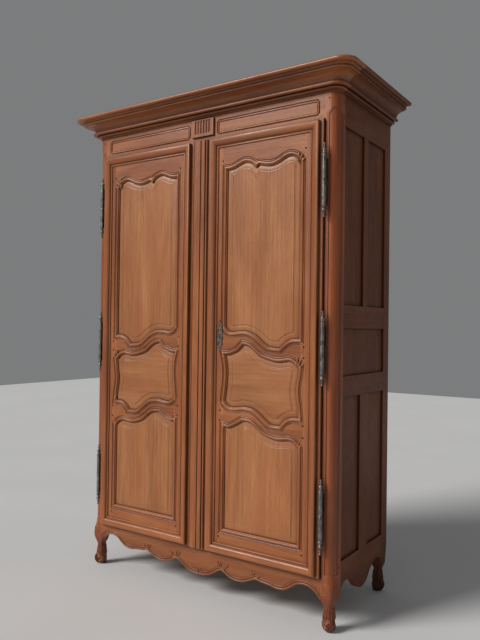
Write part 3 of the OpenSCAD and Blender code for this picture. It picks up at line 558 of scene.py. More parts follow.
def at_leaf(p):
    """A point of the leaf (u, z, height) in the case's millimetres."""
    return (LEAF_MID + p[0], LEAF_FRONT - p[2], p[1])


def picked(k, part):
    """Edges of one member at opening k, run through the other way, since it lies outside."""
    parts, grids = FRAME_GRIDS[k]
    return [g[:, ::-1] for name, g in zip(parts, grids) if name == part]


def column(grid, end):
    return [tuple(level[end]) for level in grid]


def member(shape, strips, place, holes=(), depth=(0, -28), left_open=()):
    """A flat piece from the grids of its edges, in order round it, with holes through it."""
    front, back = [], []
    for i, g in enumerate(strips):
        if i not in left_open:
            shape.grid([[place(p) for p in level] for level in g])
        front += [tuple(place(p)) for p in g[0]]
        back += [tuple(place(p)) for p in g[-1]]
        a, b = column(g, -1), column(strips[(i + 1) % len(strips)], 0)
        if len(a) != len(b) or np.linalg.norm(np.array(a) - np.array(b), axis=1).max() > 0.05:
            shape.face([place(p) for p in a] + [place(p) for p in reversed(b)])
    rims = [[[place((u, z, h)) for u, z in loop] for loop in holes] for h in depth]
    shape.fill([no_repeats(front)] + rims[0])
    shape.fill([no_repeats(back)] + rims[1])
    for near, far in zip(*rims):
        shape.grid([near, far], wrap=True)


def no_repeats(loop):
    return [p for i, p in enumerate(loop)
            if np.linalg.norm(np.array(p) - np.array(loop[i - 1])) > 0.015]


def box(shape, a, b, ease=0.6):
    """A block with eased edges, from its low corner a to its high corner b."""
    (x0, y0, z0), (x1, y1, z1) = a, b
    e = min(ease, (x1 - x0) / 3, (y1 - y0) / 3, (z1 - z0) / 3)

    def layer(z, d):
        return [(x0 + d + e, y0 + d, z), (x1 - d - e, y0 + d, z), (x1 - d, y0 + d + e, z),
                (x1 - d, y1 - d - e, z), (x1 - d - e, y1 - d, z), (x0 + d + e, y1 - d, z),
                (x0 + d, y1 - d - e, z), (x0 + d, y0 + d + e, z)]
    rows = [layer(z0, e), layer(z0 + e, 0), layer(z1 - e, 0), layer(z1, e)]
    shape.solid(rows)


def plain_strip(points):
    """Eased edge along straight lines; points turn anticlockwise round the member."""
    pts = np.array(points, float)
    levels = []
    for t, h in EASED:
        row = []
        for i, p in enumerate(pts):
            dirs = []
            if i > 0:
                dirs.append(pts[i] - pts[i - 1])
            if i < len(pts) - 1:
                dirs.append(pts[i + 1] - pts[i])
            move = np.zeros(2)
            for d in dirs:
                d = d / np.linalg.norm(d)
                move += np.array([-d[1], d[0]]) * t
            row.append((*(p + move), h))
        levels.append(row)
    return np.array(levels)


JOINT_U = SIGHT + STUCK_W
KEY_X, KEY_Z = 114.0, 1140.0


def keyhole_loop(grow=0.0):
    """Round eye and slot of the keyhole, as leaf coordinates."""
    r, w = 4 + grow, 2 + grow
    drop = math.sqrt(r * r - w * w)
    eye = [(KEY_X - LEAF_MID + r * math.cos(t), KEY_Z + 4 + r * math.sin(t))
           for t in np.linspace(math.atan2(-drop, w), math.pi + math.atan2(drop, w), 20)]
    u = KEY_X - LEAF_MID
    return eye + [(u - w, KEY_Z - 12 - grow), (u + w, KEY_Z - 12 - grow)]


def make_leaf(side, body, prefix, seeds):
    def part(node, strips, axis, seed, holes=()):
        s = Shape()
        member(s, strips, at_leaf, holes)
        if node == "left_meeting_stile":
            # tongue behind the batten, up to the right leaf
            box(s, (-39, LEAF_BACK - 12, LEAF_LOW), (45, LEAF_BACK, LEAF_TOP))
        s.make(node + "_carved", body, [wood("front", axis, seed)], [node], side=side)

    # stiles
    outer = plain_strip([(JOINT_U, LEAF_LOW), (LEAF_HALF, LEAF_LOW), (LEAF_HALF, LEAF_TOP),
                         (JOINT_U, LEAF_TOP)])
    part(prefix + "_hinge_stile", [outer] + [picked(k, "right")[0] for k in range(3)], "z",
         seeds[0])
    outer = plain_strip([(-JOINT_U, LEAF_TOP), (-LEAF_HALF, LEAF_TOP), (-LEAF_HALF, LEAF_LOW),
                         (-JOINT_U, LEAF_LOW)])
    part(prefix + ("_lock_stile" if side > 0 else "_meeting_stile"),
         [outer] + [picked(k, "left")[0] for k in (2, 1, 0)], "z", seeds[1],
         [keyhole_loop()] if side > 0 else [])
    # rails: name, strips of the upper edge, strips of the lower edge
    rails = (("_top_rail", [plain_strip([(JOINT_U, LEAF_TOP), (-JOINT_U, LEAF_TOP)])],
              picked(0, "top")[::-1]),
             ("_upper_mid_rail", picked(0, "bottom")[::-1], picked(1, "top")[::-1]),
             ("_lower_mid_rail", picked(1, "bottom")[::-1], picked(2, "top")[::-1]),
             ("_bottom_rail", picked(2, "bottom")[::-1],
              [plain_strip([(-JOINT_U, LEAF_LOW), (JOINT_U, LEAF_LOW)])]))
    for (name, above, below), seed in zip(rails, seeds[2:6]):
        part(prefix + name, above + below, "x", seed)
    # panels
    for k, name in enumerate(("_upper_panel", "_middle_panel", "_lower_panel")):
        s = Shape()
        front, back = [], []
        for g in PANEL_GRIDS[k]:
            s.grid([[at_leaf(p) for p in level] for level in g])
            back += [at_leaf(p) for p in g[0]]
            front += [at_leaf(p) for p in g[-1]]
        s.fill([no_repeats(front)])
        s.fill([no_repeats(back)])
        s.make(prefix + name + "_raised", body,
               [wood("panel", "x" if k == 1 else "z", seeds[6 + k])], [prefix + name], side=side)


# section of the raised moulding: distance in from its outer edge, height
MOULDING = [(0, -0.4), (0, 9.0), (0.3, 11.4), (1.4, 13.8), (3.2, 15.2), (6.0, 15.9), (9.0, 16.0),
            (13.0, 15.5), (17.0, 14.4), (21.0, 12.8), (24.4, 10.8), (27.2, 8.5), (29.2, 6.4),
            (30.2, 4.0), (31.4, 2.7), (33.0, 2.4), (34.4, 3.3), (36.0, 4.6), (38.0, 5.0),
            (39.8, 4.2), (40.8, 2.4), (41, -0.4)]


def make_moulding(side, body, prefix, seed):
    out_u = LEAF_HALF - 14
    lo, hi = LEAF_LOW + 6, LEAF_TOP - 6
    s = Shape()
    rows = [[at_leaf((cu * (out_u - t), lo + t if cz < 0 else hi - t, h)) for t, h in MOULDING]
            for cu, cz in ((-1, -1), (1, -1), (1, 1), (-1, 1))]
    for i in range(4):
        s.grid([rows[i], rows[(i + 1) % 4]], i % 2, wrap=True)
    s.make(prefix + "_moulding_run", body,
           [wood("front", "x", seed), wood("front", "z", seed + 1)], [prefix + "_moulding"],
           side=side)


make_leaf(1, "right_door", "right", (0, 1, 2, 3, 4, 0, 0, 1, 2))
make_leaf(-1, "left_door", "left", (2, 3, 0, 1, 2, 3, 3, 4, 1))
make_moulding(1, "right_door", "right", 1)
make_moulding(-1, "left_door", "left", 3)


# ---- case ---------------------------------------------------------------------

def rounded(x0, x1, y0, y1, radii, m=12, between=8):
    """Rectangle with four corner radii: front-inner, front-outer, back-outer, back-inner."""
    limit = min(x1 - x0, y1 - y0) / 2
    arcs = []
    for (cx, cy, sx, sy, a0), r in zip(
            ((x0, y0, 1, 1, 180), (x1, y0, -1, 1, 270), (x1, y1, -1, -1, 0), (x0, y1, 1, -1, 90)),
            radii):
        r = max(0.3, min(r, limit if r < 30 else r))
        arcs.append([(cx + sx * r + r * math.cos(a), cy + sy * r + r * math.sin(a))
                     for a in np.radians(np.linspace(a0, a0 + 90, m))])
    out = []
    for i, part in enumerate(arcs):
        (ax, ay), (bx, by) = part[-1], arcs[(i + 1) % 4][0]
        out += part + [(ax + (bx - ax) * k / between, ay + (by - ay) * k / between)
                       for k in range(1, between)]
    return out


STOP_LOW, STOP_TOP = 220.0, 2041.0
FOOT_TOP = 212.0
FOOT_OUT = smooth_run([(0, 212), (-3, 192), (-6, 170), (-5, 148), (0, 126), (7, 104), (10.5, 88),
                       (10.5, 74), (8.5, 60), (7, 44), (9, 26), (14, 10), (18, 0)], 6)
FOOT_IN_X = smooth_run([(51, 212), (51, 119), (46.5, 110), (44.5, 98), (45, 86), (46, 72), (48, 58),
                        (50, 40), (51, 22), (48, 0)], 6)
CUFF_LOBES = 11
FOOT_IN_Y = smooth_run([(70, 212), (70, 150), (64, 134), (55, 116), (49, 98), (46, 80), (47, 62),
                        (49, 44), (50, 22), (47, 0)], 6)
TOE_R, TOE_W = 27.5, 12.5
TOE_ANGLE = 15.0
FRONT_POST_D, REAR_POST_D = 70, 60


def at_height(curve, z):
    order = np.argsort(curve[:, 1])
    return float(np.interp(z, curve[order, 1], curve[order, 0]))


def post_outline(z, depth):
    """Plan of the front post: flat, quirk, sunk round, quirk, bead, flat."""
    def blend(stop_shift):
        up = min(1.0, max(0.0, (STOP_TOP - stop_shift - z) / 2.5))
        down = min(1.0, max(0.0, (z - STOP_LOW) / 1.2))
        k = min(up, down)
        return k * k * (3 - 2 * k)

    cx, cy = HALF_W - CORNER_R, CORNER_R
    pts = [(POST_IN, 0.0), (cx - 3.4, 0.0)]
    k = blend(20)
    pts += [(cx - 2.6, 0.3 * k), (cx - 2.2, 2.6 * k), (cx - 1.0, 3.2 * k), (cx + 0.1, 2.9 * k)]
    for a in np.linspace(-87, -3, 22):
        kk = blend(20 * (abs(a + 45) / 42) ** 2.2)
        r = CORNER_R - 2.6 * kk
        t = math.radians(a)
        pts.append((cx + r * math.cos(t), cy + r * math.sin(t)))
    x = HALF_W
    for dy, sink in ((0.4, 2.6), (1.4, 3.2), (2.4, 2.8), (2.9, 1.4), (3.8, 0.5), (5.2, 0.0),
                     (6.8, 0.0), (8.2, 0.5), (9.1, 1.4), (9.5, 2.6), (10.4, 3.0), (11.3, 2.5),
                     (11.7, 0.3), (12.4, 0.0)):
        pts.append((x - sink * k, cy + dy))
    pts += [(x, depth - 0.8), (x - 0.8, depth), (POST_IN, depth)]
    return pts


def toe_frame(cx, cy, back):
    a = math.radians(TOE_ANGLE) * (1 if back else -1)
    d = (math.cos(a), math.sin(a))
    n = (-d[1], d[0])
    return lambda p, q, z: (cx + p * d[0] + q * n[0], cy + p * d[1] + q * n[1], z)


def add_toe(shape, cx, cy, back):
    """Rolled toe: a crowned roll whose ends carry a spiral round a raised eye."""
    at = toe_frame(cx, cy, back)
    turns = 56
    for end in (-1, 1):
        rows = []
        for r in (0.0, 1.6, 3.0, 4.2, 5.2, 6.4, 7.8, 9.4, 11.0, 12.6, 14.2, 15.8, 17.4, 19.0,
                  20.6, 22.0, 23.4, 24.6, 25.6, 26.3, TOE_R):
            row = []
            for k in range(turns):
                th = 2 * math.pi * k / turns
                if r < 6.6:
                    lift = 4.6 * math.sqrt(max(0.0, 1 - (r / 6.6) ** 2)) + 1.4
                else:
                    s = (r / 10.2 - 0.65 + th / (2 * math.pi)) % 1.0
                    lift = 5.6 * max(0.0, math.sin(math.pi * s)) ** 0.7 - 3.4
                    lift += 2.8 * (1 - (r - 6.6) / 20.4)
                lift *= 1 - max(0.0, (r - 23) / 4.0) ** 2
                w = TOE_W + lift - 2.4 * max(0.0, (r - 21) / 6.0) ** 2
                row.append(at(r * math.cos(th), end * w, TOE_R + r * math.sin(th)))
            rows.append(row)
        shape.grid(rows, wrap=True)
        rim = rows[-1]
        if end < 0:
            first = rim
        else:
            mid = [[at((TOE_R + c) * math.cos(2 * math.pi * k / turns), q,
                       max(0.0, TOE_R + (TOE_R + c) * math.sin(2 * math.pi * k / turns)))
                    for k in range(turns)]
                   for q, c in ((-10, 0.0), (-5, 0.35), (0, 0.5), (5, 0.35), (10, 0.0))]
            shape.grid([first, *mid, rim], wrap=True)


def add_foot(shape, depth, back):
    """Knee, ankle, carved cuff and rolled toe; for a rear post the knee stays in the back plane."""
    rows = []
    for z in [*np.linspace(FOOT_TOP, 97, 30), *np.linspace(95.5, 46, 44),
              40, 34, 28, 20, 12, 5, 1.2, 0]:
        o = at_height(FOOT_OUT, z)
        knee = 0.0 if back else max(-o, 0.0)
        o = max(o, 0.0)
        ix, iy = at_height(FOOT_IN_X, z), min(at_height(FOOT_IN_Y, z), depth)
        slim = min(1.0, max(0.0, (FOOT_TOP - z) / 90.0))
        slim = slim * slim * (3 - 2 * slim)
        corner = 34 - 17 * slim if not back else 0.5 + 16.5 * slim
        soft = 0.5 + 13.5 * slim
        pull = 0.0 if z > 1.0 else 1.0
        x0, x1, y0, y1 = HALF_W - ix + pull, HALF_W - o - pull, o + pull, iy - pull
        inner = 0.4 + 12 * min(1.0, max(0.0, (116 - z) / 30.0))
        rear = 0.4 + 12 * min(1.0, max(0.0, (148 - z) / 50.0))
        outline = rounded(x0, x1, y0, y1, (inner, corner, rear, soft))
        mx = sum(p[0] for p in outline) / len(outline)
        my = sum(p[1] for p in outline) / len(outline)
        cuff = max(0.0, min(1.0, (97 - z) / 9.0, (z - 44) / 6.0))
        swell = math.sin(math.pi * min(1.0, max(0.0, (94 - z) / 48.0))) ** 0.7
        out = []
        for x, y in outline:
            near = max(0.0, (x - x0) / (x1 - x0)) * max(0.0, 1 - (y - y0) / (y1 - y0))
            x += knee * 1.1 * near
            y -= knee * 1.1 * near
            dx, dy = x - mx, y - my
            d = math.hypot(dx, dy)
            phi = math.atan2(dy, dx)
            lobe = abs(math.cos(phi * CUFF_LOBES / 2)) ** 0.55
            tip = max(0.0, min(1.0, (96 - 9 * (1 - lobe) - z) / 3.0))
            grow = cuff * (3.6 * lobe * tip - 1.2) + 2.4 * swell * cuff
            out.append((x + dx / d * grow, y + dy / d * grow, z))
        rows.append(out)
    if back:
        rows = [[(x, CASE_D - y, z) for x, y, z in row] for row in rows]
    shape.solid(rows)
    add_toe(shape, HALF_W - 26, CASE_D - 28 if back else 22, back)


def make_front_post(side, name, seed):
    s = Shape()
    zs = ([FOOT_TOP, 216] + list(np.arange(219, 240, 1.5)) + [260, 600, 1100, 1600, 1990]
          + list(np.arange(2016, 2047, 1.5)) + [2060, CASE_H])
    rows = [[(x, y, z) for x, y in post_outline(z, FRONT_POST_D)] for z in zs]
    s.solid(rows)
    add_foot(s, FRONT_POST_D, False)
    s.make(name + "_carved", "case", [wood("post", "z", seed)], [name], side=side)


def make_rear_post(side, name, seed):
    s = Shape()
    box(s, (POST_IN, CASE_D - REAR_POST_D, FOOT_TOP), (HALF_W, CASE_D, CASE_H), ease=1.2)
    add_foot(s, REAR_POST_D, True)
    s.make(name + "_shaped", "case", [wood("side", "z", seed)], [name], side=side)


make_front_post(1, "front_post_right", 2)
make_front_post(-1, "front_post_left", 1)
make_rear_post(1, "rear_post_right", 0)
make_rear_post(-1, "rear_post_left", 1)


def at_case(p):
    """A point (x, z, height in front of the case face)."""
    return (p[0], -p[2], p[1])


RAIL_T = 28.0
FRIEZE_LOW = LEAF_TOP + 3
APRON_TOP = LEAF_LOW - 3


# hole for the end of a bolt
BOLT_HOLE_X = (-109.0, -91.0)
BOLT_HOLE_Y = (15.0, 23.0)
BOLT_HOLE_DEEP = 28.0


def edge_with_hole(shape, z, up):
    """Level edge of a rail between the posts, from face to back, with a bolt's hole in it."""
    def loop(xs, ys, at):
        return [(xs[0], ys[0], at), (xs[1], ys[0], at), (xs[1], ys[1], at), (xs[0], ys[1], at)]
    mouth = loop(BOLT_HOLE_X, BOLT_HOLE_Y, z)
    end = loop(BOLT_HOLE_X, BOLT_HOLE_Y, z + up * BOLT_HOLE_DEEP)
    shape.fill([loop((-POST_IN, POST_IN), (0, RAIL_T), z), mouth])
    shape.grid([mouth, end], wrap=True, flat=True)
    shape.face(end)


def straight(a, b, depth=RAIL_T):
    """A square edge between two points of a flat piece."""
    return np.array([[(x, z, h) for x, z in (a, b)] for h in (0, -depth)], float)


# border of a frieze panel: distance inwards, height
FRIEZE_BORDER = [(0, 0), (-0.4, -0.8), (-1.4, -2.8), (-2.8, -3.4), (-4.2, -3.0), (-5.0, -1.6),
                 (-5.8, -0.2), (-7.2, 0.7), (-8.8, 0.8), (-10.0, 0.1), (-10.6, -1.2), (-11.2, -2.2),
                 (-12.4, -2.4), (-13.6, -1.6), (-14.4, -1.0), (-15.4, -0.8)]


def notched(x0, x1, z0, z1, r):
    """Rectangle with hollow corners, as anticlockwise runs."""
    def hollow(cx, cz, a0, a1):
        return np.array(arc(cx, cz, r, a0, a1, 8))
    return [line((x0 + r, z0), (x1 - r, z0)), hollow(x1, z0, 180, 90),
            line((x1, z0 + r), (x1, z1 - r)), hollow(x1, z1, 270, 180),
            line((x1 - r, z1), (x0 + r, z1)), hollow(x0, z1, 0, -90),
            line((x0, z1 - r), (x0, z0 + r)), hollow(x0, z0, 90, 0)]


def make_frieze():
    s = Shape()
    outer = [(-POST_IN, FRIEZE_LOW), (POST_IN, FRIEZE_LOW), (POST_IN, CASE_H), (-POST_IN, CASE_H)]
    rims = []
    for side in (-1, 1):
        x0, x1 = sorted((side * 72, side * 576))
        grids = ring(notched(x0, x1, 2013, 2081, 9), FRIEZE_BORDER, 2.5)
        field = []
        rim = []
        for g in grids:
            s.grid([[at_case(p) for p in level] for level in g])
            rim += [at_case(p) for p in g[0]]
            field += [at_case(p) for p in g[-1]]
        rims.append(no_repeats(rim))
        s.fill([no_repeats(field)])
    s.fill([[at_case((x, z, 0)) for x, z in outer]] + rims)
    loop = [at_case((x, z, 0)) for x, z in outer]
    back = [at_case((x, z, -RAIL_T)) for x, z in outer]
    s.grid([loop[1:] + loop[:1], back[1:] + back[:1]], flat=True)
    s.face(back)
    edge_with_hole(s, FRIEZE_LOW, 1)
    s.make("frieze_rail_panelled", "case", [wood("front", "x", 3)], ["frieze_rail"])


make_frieze()


def make_block():
    """Block over the doors with round-ended flutes."""
    s = Shape()
    half, z0, z1, out = 59.0, 2017.0, 2093.0, 9.0
    xs = np.concatenate([[-half], np.linspace(-half + 0.8, -46, 4),
                         np.linspace(-45, 45, 91), np.linspace(46, half - 0.8, 4), [half]])
    zs = np.concatenate([[z0], np.linspace(z0 + 0.8, z0 + 10, 4), np.linspace(z0 + 11, z1 - 6, 42),
                         [z1 - 4, z1 - 2, z1 - 0.8, z1]])
    rows = []
    for z in zs:
        row = []
        for x in xs:
            d = 0.0
            for k in range(6):
                fx = (k - 2.5) * 15
                low, high = z0 + 18, z1 - 9
                dz = max(low - z, z - high, 0.0)
                q = math.hypot(x - fx, dz)
                if q < 5.2:
                    d = max(d, 4.2 * math.sqrt(1 - (q / 5.2) ** 2) ** 0.8)
            rim = 0.8 if (abs(abs(x) - half) < 1e-6 or z in (zs[0], zs[-1])) else 0.0
            row.append((x, -out + d + rim, z))
        rows.append(row)
    s.grid(rows)
    rim = ([tuple(p) for p in rows[0]] + [tuple(r[-1]) for r in rows[1:]]
           + [tuple(p) for p in reversed(rows[-1][:-1])] + [tuple(r[0]) for r in rows[-2:0:-1]])
    base = [(x, 0.0, z) for x, y, z in rim]
    s.grid([rim, base], wrap=True, flat=True)
    s.face(base)
    s.make("fluted_block_carved", "case", [wood("front", "z", 2)], ["fluted_block"])


make_block()

APRON_HALF = [
    [[0, 88], [30, 90], [60, 98], [88, 113], [112, 128], [132, 134]],
    [[132, 134], [146, 122], [172, 110], [205, 104], [240, 108], [272, 121], [300, 134]],
    [[300, 134], [325, 128], [365, 124], [400, 118], [435, 121], [463, 136],
     [492, 156], [525, 163], [556, 158], [580, 143], [601.5, 118]]]
# carved lower edge: distance up into the apron, height
APRON_EDGE = [(-21, 0), (-19.6, -0.5), (-18.8, -1.6), (-17.8, -1.7), (-17.0, -0.6), (-16.0, 0),
              (-13.2, 0.1), (-12.4, -0.8), (-11.6, -2.2), (-10.2, -2.4), (-9.0, -1.2),
              (-8.2, 0.6), (-6.8, 1.9), (-4.8, 2.4), (-2.8, 2.2), (-1.2, 1.2), (-0.2, -0.4),
              (0, -2.4), (0, -26), (-0.6, -27.4), (-1.6, -28)]


def make_apron():
    s = Shape()
    half = [smooth_run(r, FINE) for r in APRON_HALF]
    mirror = [np.column_stack([-r[::-1, 0], r[::-1, 1]]) for r in half]
    middle = np.vstack([mirror[0], half[0][1:]])
    runs = [mirror[2], mirror[1], middle, half[1], half[2],
            line((POST_IN, 118), (POST_IN, APRON_TOP)),
            line((POST_IN, APRON_TOP), (-POST_IN, APRON_TOP)),
            line((-POST_IN, APRON_TOP), (-POST_IN, 118))]
    grids = ring(runs, APRON_EDGE, 4.0, still=(5, 6, 7))[:5]
    low = grids[4][0][-1][1]
    strips = grids + [straight((POST_IN, low), (POST_IN, APRON_TOP)),
                      straight((POST_IN, APRON_TOP), (-POST_IN, APRON_TOP)),
                      straight((-POST_IN, APRON_TOP), (-POST_IN, low))]
    member(s, strips, at_case, left_open=(6,))
    edge_with_hole(s, APRON_TOP, -1)
    s.make("apron_rail_carved", "case", [wood("front", "x", 2)], ["apron_rail"])


make_apron()

# section of the cornice: distance out from the case, height above it
CORNICE = ([(-18, 0.4), (-17.6, 0), (5.4, 0), (6, 0.6), (6, 5.4), (6.6, 6), (12.4, 6)]
           + arc(13, 12, 6, -80, 80, 12)
           + [(14.2, 18.2), (14.6, 19.4), (17.0, 19.6), (20.4, 19.2), (21.4, 17.6), (22.6, 16.4)]
           + arc(29, 22, 6.4, -80, 100, 14)
           + [(26.6, 29.4), (25.6, 31.0)]
           + [tuple(p) for p in smooth_run([(25.6, 31), (27.0, 36), (31.0, 44), (39, 52), (50, 57),
                                            (63, 59.0)], 8)]
           + [(63.6, 61.8), (66.6, 62.0), (71.2, 62.0), (72.4, 63.0), (72.6, 68.0), (71.8, 69.2)]
           + [tuple(p) for p in smooth_run([(71.8, 69.2), (72.0, 73.2), (75.0, 77.4), (79.6, 79.2),
                                            (82.4, 78.6)], 6)]
           + arc(88, 86, 8.96, -120, 60, 18)
           + [(91.0, 94.6), (89.6, 95), (-17.6, 95), (-18, 94.6)])
CORNICE_R = CORNER_R + 6
CORNICE_END = CORNER_R + 8


def cornice_place(side, p, q, degrees):
    """Point of the section at a front corner, which turns tighter the further out it is."""
    r = CORNICE_R + (0.22 * p if p > 0 else p)
    t = math.radians(degrees)
    return (side * (HALF_W + p - r) + r * math.cos(t), r - p + r * math.sin(t), CASE_H + q)


def make_cornice():
    s = Shape()
    rows = [[(-HALF_W - p, CORNICE_END, CASE_H + q) for p, q in CORNICE]]
    for side, start in ((-1, -180), (1, -90)):
        for a in np.linspace(start, start + 90, 19):
            rows.append([cornice_place(side, p, q, a) for p, q in CORNICE])
    rows.append([(HALF_W + p, CORNICE_END, CASE_H + q) for p, q in CORNICE])
    s.solid(rows)
    s.make("cornice_front_swept", "case", [wood("front", "x", 0)], ["cornice_front"])
    s = Shape()
    for side in (-1, 1):
        rows = [[(side * (HALF_W + p), y, CASE_H + q) for p, q in CORNICE]
                for y in (CORNICE_END + 0.2, CASE_D)]
        s.grid(rows, wrap=True)
        s.face(rows[0])
        s.face(rows[1])
    s.make("cornice_sides_swept", "case", [wood("side", "y", 1)], ["cornice_sides"])


make_cornice()


def reed(x0, x1, top, edge, n=8):
    """Crown of a broad reed between two quirks."""
    out = []
    for k in range(n + 1):
        t = -1 + 2 * k / n
        out.append((x0 + (x1 - x0) * (t + 1) / 2, top - edge * abs(t) ** 2.6))
    return out


BATTEN = ([(-38, 0), (-38, 17.0), (-37.6, 19.2)] + reed(-36.6, -2.6, 22, 1.9)
          + [(-2.0, 18.0), (-1.2, 15.6), (0.2, 15.0), (1.2, 16.0), (1.8, 18.4)]
          + reed(2.6, 22.2, 22, 1.8) + [(22.8, 17.6), (23.8, 15.2), (25.2, 14.8), (26.2, 16.0)]
          + [(27.0, 18.0), (28.6, 20.0), (30.6, 20.9), (32.8, 20.9), (34.8, 20.0), (36.4, 18.2),
             (37.0, 16.4), (38.0, 15.4), (39, 14.4), (39, 0)])


def make_batten():
    s = Shape()
    rows = [[(p, 2 - q, z) for p, q in BATTEN] for z in (LEAF_LOW, LEAF_TOP)]
    s.solid(rows)
    s.make("centre_batten_reeded", "left_door", [wood("front", "z", 4)],
           ["centre_batten"])


make_batten()


# ---- hinges, lock plate ----------------------------------------------------------

HINGE_X, HINGE_Y = 606.0, -20.0
HINGE_Z = (448.0, 1098.0, 1752.0)
BARREL_H = 98.0
FINIAL = ([(8.6, 0.0), (8.6, 1.6), (7.6, 2.8), (5.6, 3.4), (4.8, 4.4), (4.6, 6.4), (5.4, 7.6),
           (6.6, 9.2)] + [(0.3 + r, z) for r, z in arc(0, 17.6, 8.0, -42, 62, 12)]
          + [(3.6, 25.8), (2.9, 27.2), (2.9, 29.4), (4.4, 30.4), (5.6, 31.6), (5.7, 33.2),
             (4.6, 34.6), (3.0, 35.6), (2.3, 37.0), (2.4, 38.6)]
          + arc(0, 43.4, 4.6, -56, 84, 12) + [(0.3, 49.0), (0.0, 49.2)])


def barrel(z0, z1):
    """Turned half of a hinge barrel with ringed ends."""
    out = []
    for base, up in ((z0, 1), (z1, -1)):
        part = [(7.0, 0.0), (8.7, 0.5), (9.2, 1.4), (9.2, 2.8), (8.6, 3.7), (7.9, 4.0),
                (7.7, 4.6), (8.5, 5.2), (8.7, 6.0), (8.3, 6.8), (7.9, 7.2), (8.0, 8.4)]
        rows = [(r, base + up * z) for r, z in part]
        out = rows if up > 0 else out + rows[::-1]
    return out


def make_hinges(side, prefix, body):
    s = Shape()
    for z in HINGE_Z:
        lathe(s, [(0.0, z + 0.5)] + barrel(z + 0.5, z + 0.5 + BARREL_H)
              + [(r, z + 0.5 + BARREL_H + h) for r, h in FINIAL], HINGE_X, HINGE_Y)
        box(s, (HINGE_X - 4, HINGE_Y, z + 6), (HINGE_X + 2, -5, z + 90))
        box(s, (570, -8, z + 6), (HINGE_X + 2, -5, z + 90))
    s.make(prefix + "_hinge_barrels", body, [STEEL], [prefix + "_hinge_knuckles"],
           side=side)


make_hinges(1, "right", "right_door")
make_hinges(-1, "left", "left_door")


def make_pintles():
    for side, name in ((1, "pintles_right_side"), (-1, "pintles_left_side")):
        s = Shape()
        for z in HINGE_Z:
            lathe(s, [(0.0, z)] + barrel(z - BARREL_H, z)[::-1]
                  + [(r, z - BARREL_H - h) for r, h in FINIAL], HINGE_X, HINGE_Y)
            lathe(s, [(0.0, z - 4), (4, z - 4), (4, z + 57), (2.5, z + 60), (0, z + 60)],
                  HINGE_X, HINGE_Y, 24)
            box(s, (HINGE_X - 1.5, HINGE_Y, z - 90), (HINGE_X + 1.5, 30, z - 6))
        s.make(name, "case", [STEEL], ["hinge_pintles"] if side > 0 else (),
               side=side)


make_pintles()

PLATE_HALF = smooth_run([(0, -66), (5, -62), (7, -56), (4.5, -50), (9, -46), (13, -38), (11, -29),
                         (9.6, -24), (14, -18), (15, -8), (11.5, 0), (11, 6), (14.6, 14),
                         (14, 24), (9.6, 31), (9, 36), (12.4, 43), (10.4, 52), (5, 57), (3, 61),
                         (0, 66)], 5)


def make_plate():
    """Pierced lock plate, thicker towards the keyhole, with a rolled rim."""
    s = Shape()
    mid = KEY_X - LEAF_MID
    outline = [(mid + x, KEY_Z + z) for x, z in PLATE_HALF]
    outline += [(mid - x, KEY_Z + z) for x, z in PLATE_HALF[-2:0:-1]]

    def tear(cx, cz, r, long, lean):
        pts = []
        for k in range(20):
            t = 2 * math.pi * k / 20
            x, z = r * math.cos(t) * (1 - 0.45 * math.sin(t)), long * math.sin(t)
            a = math.radians(lean)
            pts.append((mid + cx + x * math.cos(a) - z * math.sin(a),
                        KEY_Z + cz + x * math.sin(a) + z * math.cos(a)))
        return pts

    holes = [keyhole_loop(), tear(5.4, 24, 2.6, 6.5, -14), tear(-5.4, 24, 2.6, 6.5, 14),
             tear(0, 45, 3.2, 6.0, 0), tear(5.2, -35, 2.4, 6.5, 194),
             tear(-5.2, -35, 2.4, 6.5, 166), tear(0, -54, 1.6, 4.0, 180)]

    def shrink(loop, d):
        p = np.array(loop)
        nxt, prv = np.roll(p, -1, 0), np.roll(p, 1, 0)
        t = nxt - prv
        t /= np.linalg.norm(t, axis=1)[:, None]
        return p + np.column_stack([-t[:, 1], t[:, 0]]) * d

    levels = [(0.0, 0.0), (0.0, 1.2), (0.5, 2.0), (1.3, 2.4), (2.0, 2.1), (2.5, 1.7)]
    rows = [[at_leaf((u, z, h)) for u, z in shrink(outline, d)] for d, h in levels]
    s.grid(rows, wrap=True)
    rims = []
    for loop in holes:
        walls = [[at_leaf((u, z, h)) for u, z in shrink(loop, d)]
                 for d, h in ((0.0, 0.0), (0.0, 1.4), (-0.5, 1.7))]
        s.grid(walls, wrap=True)
        rims.append(walls[-1])
    s.fill([rows[-1]] + rims)
    s.fill([rows[0]] + [[at_leaf((u, z, 0.0)) for u, z in loop] for loop in holes])
    for sx in (-1, 1):
        for z0, z1, bow in ((-44, -22, 11.5), (-16, 4, 12.5), (10, 32, 12.0)):
            path, rad = [], []
            for k in range(9):
                t = k / 8
                path.append(at_leaf((mid + sx * (bow - 5 * (2 * t - 1) ** 2),
                                     KEY_Z + z0 + (z1 - z0) * t, 2.0)))
                rad.append(0.5 + 1.3 * math.sin(math.pi * t))
            tube(s, path, rad, 0.9, 8)
    s.make("lock_plate_pierced", "right_door", [IRON], ["escutcheon"])


make_plate()


# ---- carved ornament ------------------------------------------------------------------

def blade(shape, place, u, z, angle, length, width, h, bend):
    """A small carved leaf that starts at (u, z) and curls by bend degrees."""
    path, radii = [], []
    n = 10
    a = math.radians(angle)
    x, y = u, z
    for k in range(n + 1):
        t = k / n
        path.append(place((x, y, h + 1.2 * math.sin(math.pi * t))))
        radii.append(max(0.25, width * math.sin(math.pi * (0.08 + 0.92 * t)) ** 0.8))
        x += length / n * math.cos(a)
        y += length / n * math.sin(a)
        a += math.radians(bend) / n
    tube(shape, path, radii, 0.62, 10)


